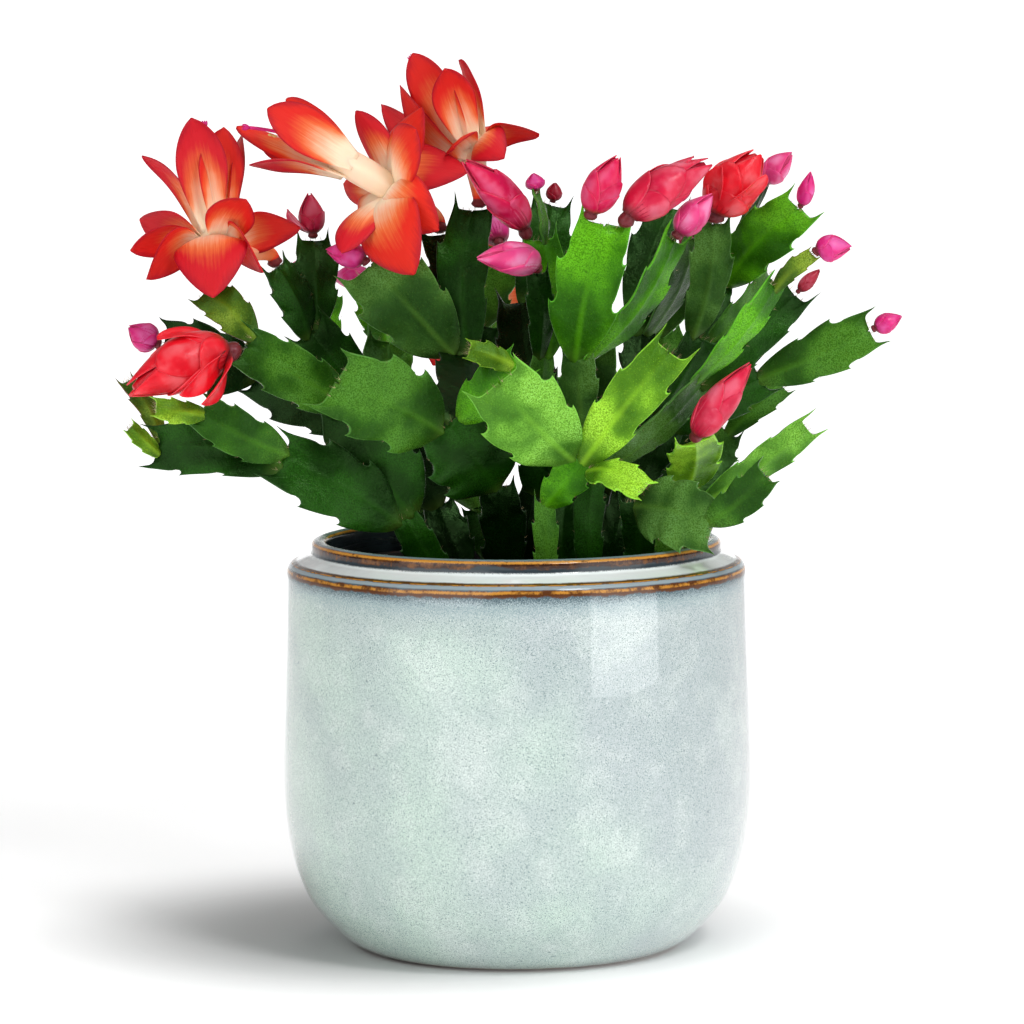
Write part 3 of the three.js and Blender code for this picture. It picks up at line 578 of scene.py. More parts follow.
def rings_on(centres, along, radii, sides, ridges=0, ridge_depth=0.0):
    """Rings of points round a path; radii has one number for each ring."""
    first, second = square_to(along)
    angle = around(sides)
    reach = np.asarray(radii)[:, None] * (1 + ridge_depth * np.cos(angle * ridges))[None]
    across = reach[..., None] * (np.cos(angle)[None, :, None] * first[:, None])
    return centres[:, None] + across + reach[..., None] * (np.sin(angle)[None, :, None] * second[:, None])


def bend(start, control, end, t):
    """Points and directions on a quadratic bend."""
    t = np.asarray(t)[..., None]
    points = (1 - t) ** 2 * start + 2 * t * (1 - t) * control + t**2 * end
    return points, unit((1 - t) * (control - start) + t * (end - control))


def swept(keys, t, ease=True):
    """A value along a part: keys are pairs of place and value, with rounded changes between them."""
    places, values = zip(*keys)
    t = np.asarray(t, float)
    if not ease:
        return np.interp(t, places, values)
    slopes = np.gradient(np.array(values, float), np.array(places, float))
    which = np.clip(np.searchsorted(places, t, "right") - 1, 0, len(places) - 2)
    low, high = np.array(places)[which], np.array(places)[which + 1]
    u = np.clip((t - low) / (high - low), 0, 1)
    start, end = np.array(values)[which], np.array(values)[which + 1]
    run = high - low
    return (
        start * (1 + 2 * u) * (1 - u) ** 2 + run * slopes[which] * u * (1 - u) ** 2
        + end * u**2 * (3 - 2 * u) + run * slopes[which + 1] * u**2 * (u - 1)
    )


def draws_from(seed):
    """The same run of draws for the same seed, each from 0 to 1, as the solids take theirs."""
    state = seed & WORD
    while True:
        state = (state + 0x6D2B79F5) & WORD
        mixed = (state ^ state >> 15) * (state | 1) & WORD
        mixed = (mixed + (mixed ^ mixed >> 7) * (mixed | 61) & WORD) ^ mixed
        yield (mixed ^ mixed >> 14) / 2**32


def seen(x, z, y):
    """The point at depth y that the eye sees at x, z of the upright plane through the pot's axis."""
    scale = 1 + y / EYE_DISTANCE
    return np.array((x * scale, y, EYE_HEIGHT + (z - EYE_HEIGHT) * scale))


# The joints of the stems

class Pad:
    """Where one joint lies, and its teeth."""

    def __init__(self, start, tip, width, facing, lift, bow, seed):
        draw = draws_from(seed)
        self.start = start
        self.length = float(np.linalg.norm(tip - start))
        self.along = (tip - start) / self.length
        azimuth = math.radians(facing)
        elevation = math.radians(lift)
        level = math.cos(elevation)
        face = np.array((math.sin(azimuth) * level, -math.cos(azimuth) * level, math.sin(elevation)))
        self.face = unit(face - self.along * face.dot(self.along))
        self.side = np.cross(self.along, self.face)
        self.half = width / 2
        self.bow = bow
        self.sway = (next(draw) - 0.5) * PAD_SWAY * self.length
        self.twist = (next(draw) - 0.5) * PAD_TWIST
        self.fold = PAD_FOLD[0] + PAD_FOLD[1] * next(draw)
        self.sides = [self.outline(draw) for _ in range(2)]
        self.phase = 2 * math.pi * next(draw)
        self.tip = self.at(TIP_PART, 0, 0)

    def at(self, t, reach, height):
        """The point at part t of the length, reach aside and height above the joint's middle sheet."""
        t, reach, height = (np.asarray(v, float)[..., None] for v in (t, reach, height))
        turn = self.twist * (t - 0.5)
        wave = np.sin(math.pi * np.clip(t, 0, 1))
        across = self.side * np.cos(turn) + self.face * np.sin(turn)
        upward = self.face * np.cos(turn) - self.side * np.sin(turn)
        raised = self.bow * wave + self.fold * (np.sqrt(reach**2 + 0.5) - 0.7)
        return (
            self.start + self.along * t * self.length + self.side * self.sway * wave
            + across * reach + upward * height + self.face * raised
        )

    def outline(self, draw):
        """One side's edge: rows of t, reach, the midrib's t that faces it, and how blunt it is there.

        It is seven bends, three of which end in a tooth. The first draw goes unused, as in the solids.
        """
        half = self.half

        def tooth(t, width):
            slip = (next(draw) - 0.5) * TOOTH_SLIP
            return t + slip, width * (TOOTH_SIZE[0] + TOOTH_SIZE[1] * next(draw)) * half

        next(draw)
        low_t, low = tooth(0.4, 1)
        high_t, high = tooth(0.71, 1.04)
        horn_t, horn = tooth(1.09, 0.78)
        neck = NECK_HALF + 0.2
        low, high, horn = (max(reach, neck) for reach in (low, high, horn))
        axil = 0.84 * half
        bends = (
            ((0, neck), (0.08, 0.55 * half), (low_t - 0.1, 0.95 * low), (low_t + 0.03, low), 0, 0.27, 9),
            ((low_t + 0.03, low), (low_t, 0.93 * low), (low_t, axil), (0.47, axil), 0.27, 0.42, 5),
            ((0.47, axil), (0.54, 0.96 * half), (high_t - 0.08, 0.95 * high), (high_t + 0.03, high),
             0.42, 0.55, 7),
            ((high_t + 0.03, high), (high_t, 0.93 * high), (high_t + 0.01, 0.98 * axil),
             (0.79, 0.98 * axil), 0.55, 0.69, 5),
            ((0.79, 0.98 * axil), (0.86, 0.92 * half), (0.98, 0.88 * horn), (horn_t + 0.01, horn),
             0.69, 0.79, 8),
            ((horn_t + 0.01, horn), (1.04, 0.84 * horn), (0.99, 0.86 * horn), (0.975, 0.5 * half),
             0.79, 0.89, 6),
            ((0.975, 0.5 * half), (0.968, 0.36 * half), (0.966, 0.2 * half), (0.966, 0.03 * half),
             0.89, 0.955, 5),
        )
        rows = []
        for index, (a, b, c, d, rib_low, rib_high, count) in enumerate(bends):
            u = np.arange(count + (index == len(bends) - 1)) / count
            a, b, c, d = (np.array(p)[None] for p in (a, b, c, d))
            v = u[:, None]
            points = (1 - v) ** 3 * a + 3 * v * (1 - v) ** 2 * b + 3 * v**2 * (1 - v) * c + v**3 * d
            to_tooth = index in (0, 2, 4)
            blunt = np.clip(1.15 - u if to_tooth else 0.3 + u, 0.3, 1)
            rib = rib_low + (rib_high - rib_low) * u
            rows.append(np.column_stack([points, rib, blunt]))
        return np.concatenate(rows)


REACHES = np.array((0, 0.05, 0.12, 0.24, 0.4, 0.58, 0.76, 0.89, 0.955, 1))


def pad_skin(piece, pad, tone, margin):
    """A joint's skin: both faces with midrib, thin waved edges and hooked teeth."""
    left, right = pad.sides
    part = np.concatenate([-REACHES[:0:-1], REACHES])
    edge = np.where(part < 0, -1, 1)
    side = np.where(part[None, :, None] < 0, left[:, None], right[:, None])
    share = np.abs(part)[None]
    t = side[..., 2] + (side[..., 0] - side[..., 2]) * share**2.6
    reach = side[..., 1] * share * edge
    blunt = 1 - (1 - side[..., 3]) * share**40
    rib = swept(RIB_HALF, t, False)
    lens = 0.62 * (1 - share) ** 1.3 + 0.38 * np.exp(-((reach / 1.2) ** 2))
    bead = 0.1 * np.exp(-(((share - 0.955) / 0.04) ** 2))
    thick = (EDGE_HALF + (rib - EDGE_HALF) * lens + bead) * blunt
    size = pad.half / 12
    curl = 0.7 * size * share**2 * np.sin(7.5 * t + pad.phase + 1.3 * edge)
    curl += 0.6 * size * share**3 * np.sin(19 * t + 2 * pad.phase * edge)
    curl -= 1.3 * size * share**2.2
    front = pad.at(t, reach, curl + thick)
    back = pad.at(t, reach, curl - thick)
    points, faces = blade(front, back)
    piece.add(points, faces, tone=tone, margin=margin, rim=twice(np.broadcast_to(share, t.shape)),
              along=twice(t), across=twice(reach))


def stub(piece, foot, top):
    """The woody foot of a stem, from below the soil to its first joint."""
    heights = np.linspace(-STUB_DEPTH, top, 12)
    centres = np.array([(foot[0], foot[1], SOIL_LEVEL + h) for h in heights])
    along = np.tile((0.0, 0.0, 1.0), (len(heights), 1))
    knots = 1 + 0.12 * np.sin(heights * 1.7 + foot[0])
    radii = STUB_RADIUS * knots * np.linspace(1, 0.75, len(heights))
    points, faces = ringed(rings_on(centres, along, radii, 12, 5, 0.08))
    wood = GREEN["wood"]
    piece.add(points, faces, tone=wood, margin=wood, rim=0.5, along=0.5, across=2.0)


pads = {}


def place_pads():
    """Works out every joint, in the solids' order, so that the same draws fall to each."""
    for stem_number, (foot, rows) in enumerate(STEMS.values()):
        foot_top = np.array((foot[0], foot[1], SOIL_LEVEL + STUB_RISE - PAD_OVERLAP))
        for number, (name, row) in enumerate(rows.items()):
            parent, x, z, y, width, facing, lift, bow, aside, _ = row
            start = foot_top
            if parent != "foot":
                carrier = pads[parent]
                start = carrier.tip - carrier.along * PAD_OVERLAP + carrier.side * aside
            seed = 100 * (stem_number + 1) + number
            pads[name] = Pad(start, seen(x, z, y), width, facing, lift, bow, seed)


def stem_skin(name, finish):
    """A leafy stem: its woody foot and all its joints."""
    foot, rows = STEMS[name]
    piece = Piece()
    stub(piece, foot, STUB_RISE + 1)
    for pad_name, row in rows.items():
        green = row[-1]
        tone = GREEN[green]
        # A green joint's pale edge colour: partly its own pale rim, partly painted edge light; a young
        # joint's red edge is its own.
        margin = RIM_RED if green == "young" else tuple(2.4 * c + 0.03 for c in tone)
        pad_skin(piece, pads[pad_name], tone, margin)
    return piece.build(name + "_skin", finish)


# Petals, blooms and buds

def petal_skin(piece, path, width, across, tone, seed, **values):
    """A cupped petal along a bend, with a waved edge, faint ribs and a small point."""
    draw = draws_from(seed)
    t = np.linspace(0, 1, 25)
    points, along = bend(*path, t)
    normal = unit(np.cross(along, across))
    phase = 6.3 * next(draw)
    roll = (next(draw) - 0.5) * 0.5
    swell = 0.34 + 0.66 * np.sin(np.clip(t / 0.58, 0, 1) * math.pi / 2)
    close = np.clip(1 - np.clip((t - 0.5) / 0.5, 0, 1) ** 2.3, 0, 1) ** 0.8
    reach = (swell * close + 0.035) * width / 2
    turn = (roll * (t - 0.3))[:, None, None]
    across_here = across * np.cos(turn) + normal[:, None] * np.sin(turn)
    normal_here = normal[:, None] * np.cos(turn) - across * np.sin(turn)
    s = np.linspace(-1, 1, 15)[None, :, None]
    r = reach[:, None, None]
    tt = t[:, None, None]
    cup = -PETAL_CUP * 1.5 * r * s**2 * (1 - 0.5 * tt)
    wave = 0.45 * s**2 * tt * np.sin(9 * tt + phase + 1.7 * s)
    ribs = 0.07 * np.cos(s * 16) * (1 - tt)
    crease = -0.25 * np.exp(-((s / 0.16) ** 2)) * np.sin(math.pi * tt)
    middle = points[:, None] + across_here * r * s + normal_here * (cup + wave + ribs + crease)
    thick = (0.34 - 0.16 * s**2) * (1 - 0.45 * tt)
    front = middle + normal_here * thick
    back = middle - normal_here * thick
    points, faces = blade(front, back)
    whole = np.broadcast_to(tt[..., 0], front.shape[:2])
    side = np.broadcast_to(s[..., 0], front.shape[:2])
    piece.add(points, faces, tone=tone, along=twice(whole), rim=twice(np.abs(side)),
              across=twice(side * r[..., 0]), under=np.repeat((0.0, 1.0), side.size), **values)


def curve_through(points, t):
    """Points and directions on a smooth curve through four points, as their solids' tube follows."""
    keys = [2 * points[0] - points[1], *points, 2 * points[-1] - points[-2]]
    spans = len(points) - 1
    t = np.asarray(t, float)
    found = []
    for value in t:
        place = min(value * spans, spans - 1e-6)
        which = int(place)
        p0, p1, p2, p3 = keys[which:which + 4]
        gaps = [max(np.linalg.norm(b - a), 1e-4) ** 0.5 for a, b in ((p0, p1), (p1, p2), (p2, p3))]
        start = (p1 - p0) / gaps[0] - (p2 - p0) / (gaps[0] + gaps[1]) + (p2 - p1) / gaps[1]
        end = (p2 - p1) / gaps[1] - (p3 - p1) / (gaps[1] + gaps[2]) + (p3 - p2) / gaps[2]
        start, end = start * gaps[1], end * gaps[1]
        u = place - which
        found.append(
            p1 * (1 + 2 * u) * (1 - u) ** 2 + start * u * (1 - u) ** 2
            + p2 * u**2 * (3 - 2 * u) + end * u**2 * (u - 1)
        )
    found = np.array(found)
    return found, unit(np.gradient(found, axis=0))


def seat(pad, aside):
    """Where something on a joint's tip starts."""
    return pad.tip + pad.along * SEAT_GAP + pad.side * aside


TUBE_RADII = ((0, 1.3), (0.08, 2.4), (0.2, 2), (0.6, 3.6), (0.85, 4.7), (1, 4.3))
TUBE_SIDES = 25


def bloom_skin(name, finish):
    """A bloom: its ovary and tube, the petals bent back from the tube and those at its mouth."""
    (pad_name, aside), ring, mouth, _, petals = BLOOMS[name]
    pad = pads[pad_name]
    start = seat(pad, aside)
    ring_point, mouth_point = seen(*ring), seen(*mouth)
    piece = Piece()
    t = np.linspace(0, 1, 34)
    centres, along = curve_through([start, start + pad.along * OVARY_LENGTH, ring_point, mouth_point], t)
    rings = rings_on(centres, along, swept(TUBE_RADII, t), TUBE_SIDES, 5, 0.05)
    points, faces = ringed(rings)
    part = np.append(np.repeat(t, TUBE_SIDES), (0, 1))
    tone = np.where((part < 0.22)[:, None], OVARY_RED, CORAL)
    tube_along = np.clip(0.75 - 1.6 * (part - 0.25), 0.02, 0.9)
    piece.add(points, faces, tone=tone, along=tube_along, rim=0.3, across=0.0, under=0.0)
    way = unit(mouth_point - ring_point)
    for number, (whorl, x, z, y, width) in enumerate(petals):
        centre = mouth_point - way * MOUTH_PETALS_BELOW if whorl else ring_point
        tip = seen(x, z, y)
        to_tip = tip - centre
        length = np.linalg.norm(to_tip)
        outward = unit(to_tip - way * to_tip.dot(way))
        across = unit(np.cross(way, outward))
        open_way = unit(np.cross(unit(to_tip), (0.0, -1.0, 0.0)))
        if across.dot(open_way) < 0:
            open_way = -open_way
        share = 0.0 if whorl or name == "bloom_rear" else PETAL_TO_FRONT
        across = unit(across * (1 - share) + open_way * share)
        root = centre + outward * (INNER_ROOT if whorl else PETAL_ROOT)
        if whorl:
            control = centre + outward * 7 + way * 0.58 * length
        else:
            control = centre + outward * 0.42 * length + way * 8
        tone = CORAL if (number + whorl) % 3 else BLOOD
        seed = 50 + 13 * number + len(name)
        petal_skin(piece, (root, control, tip), PETAL_WIDTH[whorl] * width, across, tone, seed)
    return piece.build(name + "_petals", finish)


def style_skin(name, finish):
    """The style, with the lobes of its stigma a little open."""
    _, ring, mouth, style, _ = BLOOMS[name]
    mouth_point, end = seen(*mouth), seen(*style)
    way = unit(mouth_point - seen(*ring))
    start = mouth_point + way * CLEARANCE
    control = start + way * 0.5 * np.linalg.norm(end - start)
    piece = Piece()
    t = np.linspace(0, 0.93, 22)
    centres, along = bend(start, control, end, t)
    points, faces = ringed(rings_on(centres, along, 0.62 - 0.1 * t, 10))
    piece.add(points, faces, tone=MAGENTA, along=0.5, rim=0.5)
    first, second = square_to(along)
    u = np.linspace(0, 1, 7)
    for lobe in range(6):
        angle = lobe * math.pi / 3
        outward = first[-1] * math.cos(angle) + second[-1] * math.sin(angle)
        base = centres[-1]
        lobe_centres, lobe_along = bend(base, base + along[-1] * 1.2 + outward * 0.7,
                                        base + along[-1] * 2.4 + outward * 0.8, u)
        radii = swept(((0, 0.3), (0.5, 0.48), (1, 0.12)), u)
        points, faces = ringed(rings_on(lobe_centres, lobe_along, radii, 7))
        piece.add(points, faces, tone=MAGENTA, along=1.0, rim=0.5)
    return piece.build(name + "_thread", finish)


BUD_RADII = ((0, 0.13), (0.06, 0.2), (0.12, 0.23), (0.2, 0.19), (0.3, 0.33), (0.42, 0.44), (0.58, 0.49),
             (0.72, 0.46), (0.86, 0.29), (0.95, 0.13), (1, 0.03))
# A bud's layers of petals, from the outermost: where on the bud they start and end, and how far off it
LARGE_LAYERS = ((0.21, 0.62, 0.05), (0.26, 0.82, 0.025), (0.3, 1.0, 0.0))
SMALL_LAYERS = ((0.21, 0.7, 0.045), (0.26, 1.0, 0.0))
LARGE_BUD = 8.5
LAYER_PETALS = 3
BUD_PETAL_THICK = 0.3


def wrapped_petals(piece, path, width, tone, opening, draw):
    """A bud's petals in layers, each layer over the joins of the one inside it."""
    large = width > LARGE_BUD
    rows, columns = (15, 11) if large else (11, 9)
    q = np.linspace(0, 1, rows)
    s = np.linspace(-1, 1, columns)
    for layer, (low, high, lift) in enumerate(LARGE_LAYERS if large else SMALL_LAYERS):
        curl = opening * (0.4 + 0.3 * layer) * q[:, None] ** 4
        for number in range(LAYER_PETALS):
            place = np.minimum(low + (high - low + 0.05 * (next(draw) - 0.5)) * q, 1.0)
            middles, ways = bend(*path, place)
            side, other = square_to(ways)
            angle = 2 * math.pi * (number + 0.5 * layer) / LAYER_PETALS + 0.25 * next(draw)
            spread = 1.25 * math.pi / LAYER_PETALS * np.clip(1 - q**3.2, 0.02, 1) ** 0.5
            turn = (angle + spread[:, None] * s[None])[..., None]
            base = swept(BUD_RADII, place) * width
            radius = base[:, None] * (1.012 + lift + 0.035 * s[None]) + curl + 0.12
            outward = np.cos(turn) * side[:, None] + np.sin(turn) * other[:, None]
            front = middles[:, None] + outward * radius[..., None]
            points, faces = blade(front, front - outward * BUD_PETAL_THICK)
            on_bud, off_middle, on_petal = (
                twice(np.broadcast_to(v, radius.shape)) for v in (place[:, None], np.abs(s), q[:, None])
            )
            piece.add(points, faces, tone=tone, along=on_bud, rim=off_middle, scale=on_petal,
                      across=0.0, under=0.0)


def loose_petals(piece, path, petals, length, tone):
    """Petals that stand off a bud, from its neck to their given tips."""
    start, _, end = path
    neck, ways = bend(*path, np.array((0.24, 0.25)))
    for number, (x, z, y, width) in enumerate(petals):
        tip = seen(x, z, y)
        across = unit(np.cross(ways[0], unit(tip - neck[0])))
        middle = 0.5 * (neck[0] + tip)
        away = unit(middle - 0.5 * (start + end))
        petal_path = (neck[0], middle + away * 0.16 * length, tip)
        petal_skin(piece, petal_path, width, across, tone, 7 + number, scale=0.5)


def bud_skin(name, finish):
    """A bud: a short dark foot, a core, and the petals wrapped round it."""
    pad_name, aside, x, z, y, width, tone, opening = BUDS[name]
    pad = pads[pad_name]
    start, end = seat(pad, aside), seen(x, z, y)
    length = np.linalg.norm(end - start)
    path = (start, start + pad.along * BUD_BEND * length, end)
    piece = Piece()
    t = np.linspace(0, 0.97, 20)
    centres, along = bend(*path, t)
    radii = swept(BUD_RADII, t) * width * 0.93
    points, faces = ringed(rings_on(centres, along, radii, 16))
    part = np.append(np.repeat(t, 16), (0, 1))
    piece.add(points, faces, tone=tone, along=part, rim=0.2, scale=0.0, across=0.0, under=0.0)
    wrapped_petals(piece, path, width, tone, opening, draws_from(len(name) * 31 + int(width * 7)))
    loose_petals(piece, path, LOOSE_PETALS.get(name, ()), length, tone)
    return piece.build(name + "_petals", finish)


# The pots and the soil

def rounded(corners, bends):
    """An outline with each corner that has a radius in bends turned into a short arc."""
    outline = [corners[0]]
    for index in range(1, len(corners) - 1):
        before, here, after = (np.array(corners[i], float) for i in (index - 1, index, index + 1))
        radius = bends.get(index, 0)
        back, on = np.linalg.norm(before - here), np.linalg.norm(after - here)
        cut = min(radius, 0.49 * back, 0.49 * on)
        if cut <= 0:
            outline.append(tuple(here))
            continue
        start, end = here + (before - here) / back * cut, here + (after - here) / on * cut
        for u in np.linspace(0, 1, 7):
            point = (1 - u) ** 2 * start + 2 * u * (1 - u) * here + u**2 * end
            outline.append(tuple(point))
    outline.append(corners[-1])
    return outline


def turned(name, outline, finish, sides=192):
    """A round piece from its outline, which runs from the axis to the axis."""
    rings = np.array([level_ring(radius, height, sides) for radius, height in outline[1:-1]])
    piece = Piece()
    piece.add(*ringed(rings))
    return piece.build(name, finish)


def pot_outline():
    """The planter's outline, from the axis below, up its outside and down its inside."""
    wall = [(0, 0), (50, 0), (55.5, 3), (61, 8), (67, 15), (71.5, 26), (74.3, 40), (75, 58), (74, 95),
            (73.2, 121.5), (72.2, 123.4), (65.2, 126.4), (65.4, 130), (63.2, POT_HEIGHT), (60.6, 130.2),
            (60, 121), (66.5, 112), (69, 60), (61, 15), (52, POT_FLOOR), (0, POT_FLOOR)]
    return rounded(wall, {1: 2.5, 2: 3, 3: 4, 4: 5, 5: 7, 6: 8, 7: 20, 8: 15, 9: 1.2, 10: 1.2, 11: 1.6,
                          12: 1.2, 13: 1.4, 14: 1.4, 15: 5, 16: 5, 17: 20, 18: 10, 19: 4})


def plastic_outline():
    """The nursery pot's outline, with the lip round its rim."""
    foot = PLASTIC_FOOT_RADIUS
    rim = PLASTIC_RIM_RADIUS
    inner_floor = PLASTIC_FLOOR + PLASTIC_WALL
    return rounded([
        (0, PLASTIC_FLOOR), (foot, PLASTIC_FLOOR), (rim - 0.8, PLASTIC_RIM - 7),
        (rim + 1.6, PLASTIC_RIM - 7), (rim + 2, PLASTIC_RIM), (rim - PLASTIC_WALL, PLASTIC_RIM),
        (foot - PLASTIC_WALL, inner_floor), (0, inner_floor),
    ], {1: 2, 2: 0.6, 3: 0.6, 4: 0.8, 5: 0.6, 6: 1})


def soil_skin(finish):
    """The soil that fills the nursery pot, its top in rough crumbs."""
    draw = np.random.default_rng(11)
    sides = 120
    below = [(40.2, 8.1), (53.0, 110.8)]
    top = [(radius, SOIL_LEVEL - 1.6 + 0.055 * (53 - radius)) for radius in np.linspace(52.6, 1.5, 46)]
    rings = []
    for number, (radius, height) in enumerate(below + top):
        rough = draw.normal(0, 0.75, sides) if number > 2 else 0
        spread = draw.normal(0, 0.3, sides) if number > 3 else 0
        rings.append(level_ring(radius + spread, height + rough, sides))
    piece = Piece()
    piece.add(*ringed(np.array(rings)))
    return piece.build("soil_body", finish, smooth=False)


# What repeats, by geometry nodes

def repeats(name, source, settings, build):
    """Runs a tree of geometry nodes on a mesh and gives its result as a plain mesh."""
    tree = bpy.data.node_groups.new(name, "GeometryNodeTree")
    tree.interface.new_socket("Geometry", in_out="INPUT", socket_type="NodeSocketGeometry")
    kinds = {int: "NodeSocketInt", float: "NodeSocketFloat", bpy.types.Material: "NodeSocketMaterial"}
    identifiers = {}
    for key, value in settings.items():
        socket = tree.interface.new_socket(key, in_out="INPUT", socket_type=kinds[type(value)])
        identifiers[socket.identifier] = value
    tree.interface.new_socket("Geometry", in_out="OUTPUT", socket_type="NodeSocketGeometry")
    given = tree.nodes.new("NodeGroupInput").outputs
    result = tree.nodes.new("NodeGroupOutput").inputs
    tree.links.new(build(tree, given), result[0])
    modifier = source.modifiers.new(name, "NODES")
    modifier.node_group = tree
    for identifier, value in identifiers.items():
        modifier[identifier] = value
    bpy.context.view_layer.update()
    evaluated = source.evaluated_get(bpy.context.evaluated_depsgraph_get())
    mesh = bpy.data.meshes.new_from_object(evaluated)
    mesh.name = name
    source.modifiers.remove(modifier)
    bpy.data.objects.remove(source)
    return placed(name, mesh)


def points_object(name, points, **vectors):
    """A mesh of loose points, each with its own vectors and numbers."""
    mesh = bpy.data.meshes.new(name)
    mesh.from_pydata((np.array(points) * MM).tolist(), [], [])
    for key, values in vectors.items():
        values = np.array(values, float)
        if values.ndim == 2:
            mesh.attributes.new(key, "FLOAT_VECTOR", "POINT").data.foreach_set("vector", values.ravel())
        else:
            mesh.attributes.new(key, "FLOAT", "POINT").data.foreach_set("value", values)
    return placed(name, mesh)


def bristle_tree(tree, given):
    """Curved bristles that stand out of each point along its own way."""
    make = maker(tree)
    copies = add_node(tree, "GeometryNodeDuplicateElements", {"domain": "POINT"},
                      {"Geometry": given["Geometry"], "Amount": given["Bristles"]}).outputs
    way = make("GeometryNodeInputNamedAttribute", {"data_type": "FLOAT_VECTOR"}, {"Name": "way"})
    size = make("GeometryNodeInputNamedAttribute", {"data_type": "FLOAT"}, {"Name": "size"})
    astray = make("FunctionNodeRandomValue", {"data_type": "FLOAT_VECTOR"},
                  {0: (-1, -1, -1), 1: (1, 1, 1), "Seed": 3})
    spread = make("ShaderNodeVectorMath", {"operation": "SCALE"}, {0: astray, "Scale": given["Spread"]})
    aim = make("ShaderNodeVectorMath", {"operation": "ADD"}, {0: way, 1: spread})
    turn = make("FunctionNodeAlignRotationToVector", {"axis": "Z"}, {"Vector": aim})
    chance = make("FunctionNodeRandomValue", {"data_type": "FLOAT"}, {2: 0.45, 3: 1.0, "Seed": 8}, 1)
    scale = make("ShaderNodeMath", {"operation": "MULTIPLY"}, {0: chance, 1: size})
    cone = make("GeometryNodeMeshCone", {"fill_type": "NGON"}, {
        "Vertices": 4, "Side Segments": 3, "Radius Top": 0.00001, "Radius Bottom": given["Radius"],
        "Depth": given["Length"],
    })
    position = make("GeometryNodeInputPosition")
    height = make("ShaderNodeSeparateXYZ", None, {0: position}, 2)
    squared = make("ShaderNodeMath", {"operation": "MULTIPLY"}, {0: height, 1: height})
    lean = make("ShaderNodeMath", {"operation": "MULTIPLY"}, {0: squared, 1: given["Bend"]})
    offset = make("ShaderNodeCombineXYZ", None, {0: lean})
    bent = make("GeometryNodeSetPosition", None, {"Geometry": cone, "Offset": offset})
    bristles = make("GeometryNodeInstanceOnPoints", None, {
        "Points": copies["Geometry"], "Instance": bent, "Rotation": turn, "Scale": scale,
    })
    real = make("GeometryNodeRealizeInstances", None, {"Geometry": bristles})
    return make("GeometryNodeSetMaterial", None, {"Geometry": real, "Material": given["Material"]})


def areole_bristles(finish):
    """Fine bristles in the notch at each joint's tip and in the corners of its teeth."""
    points, ways, sizes = [], [], []
    for pad in pads.values():
        for part in (-0.34, -0.12, 0.1, 0.36):
            points.append(pad.at(0.965, part * pad.half, 0))
            ways.append(pad.along)
            sizes.append(1.0)
        for sign, side in zip((-1, 1), pad.sides):
            for place in (0.47, 0.79):
                row = side[np.argmin(abs(side[:, 0] - place) + abs(side[:, 1] - 0.84 * pad.half))]
                points.append(pad.at(row[0], sign * row[1], 0))
                ways.append(unit(pad.side * sign + pad.along))
                sizes.append(0.5)
    holder = points_object("areoles", points, way=ways, size=sizes)
    settings = {"Bristles": 4, "Length": 0.0026, "Radius": 0.00006, "Spread": 0.55, "Bend": 90.0,
                "Material": finish}
    return repeats("areole_bristles", holder, settings, bristle_tree)


def crumb_tree(tree, given):
    """Crumbs of bark and peat over the soil's top."""
    make = maker(tree)
    normal = make("GeometryNodeInputNormal")
    upward = make("ShaderNodeSeparateXYZ", None, {0: normal}, 2)
    spots = make("GeometryNodeDistributePointsOnFaces", {"distribute_method": "RANDOM"}, {
        "Mesh": given["Geometry"], "Selection": upward, "Density": given["Density"], "Seed": 5,
    })
    crumb = make("GeometryNodeMeshIcoSphere", None, {"Radius": given["Radius"], "Subdivisions": 2})
    position = make("GeometryNodeInputPosition")
    lumps = make("ShaderNodeTexNoise", {"noise_dimensions": "3D"},
                 {"Vector": position, "Scale": 900.0, "Detail": 1.0}, 1)
    centred = make("ShaderNodeVectorMath", {"operation": "SUBTRACT"}, {0: lumps, 1: (0.5, 0.5, 0.5)})
    offset = make("ShaderNodeVectorMath", {"operation": "SCALE"}, {0: centred, "Scale": 0.0016})
    rough = make("GeometryNodeSetPosition", None, {"Geometry": crumb, "Offset": offset})
    turn = make("FunctionNodeRandomValue", {"data_type": "FLOAT_VECTOR"},
                {0: (0, 0, 0), 1: (6.3, 6.3, 6.3), "Seed": 1})
    scale = make("FunctionNodeRandomValue", {"data_type": "FLOAT_VECTOR"},
                 {0: (0.35, 0.35, 0.25), 1: (1.7, 1.2, 0.8), "Seed": 2})
    crumbs = make("GeometryNodeInstanceOnPoints", None,
                  {"Points": spots, "Instance": rough, "Rotation": turn, "Scale": scale})
    shade = make("FunctionNodeRandomValue", {"data_type": "FLOAT"}, {2: 0.0, 3: 1.0, "Seed": 9}, 1)
    named = make("GeometryNodeStoreNamedAttribute", {"data_type": "FLOAT", "domain": "INSTANCE"},
                 {"Geometry": crumbs, "Name": "shade", "Value": shade})
    real = make("GeometryNodeRealizeInstances", None, {"Geometry": named})
    return make("GeometryNodeSetMaterial", None, {"Geometry": real, "Material": given["Material"]})


def soil_crumbs(finish):
    """Crumbs strewn on a low mound that lies in the soil's top."""
    disc = Piece()
    mound = ((52, SOIL_LEVEL - 2), (51.6, SOIL_LEVEL - 1), (30, SOIL_LEVEL), (2, SOIL_LEVEL + 1))
    disc.add(*ringed(np.array([level_ring(radius, height, 48) for radius, height in mound])))
    holder = disc.build("soil_top", finish)
    settings = {"Density": 210000.0, "Radius": 0.0012, "Material": finish}
    return repeats("soil_crumbs", holder, settings, crumb_tree)


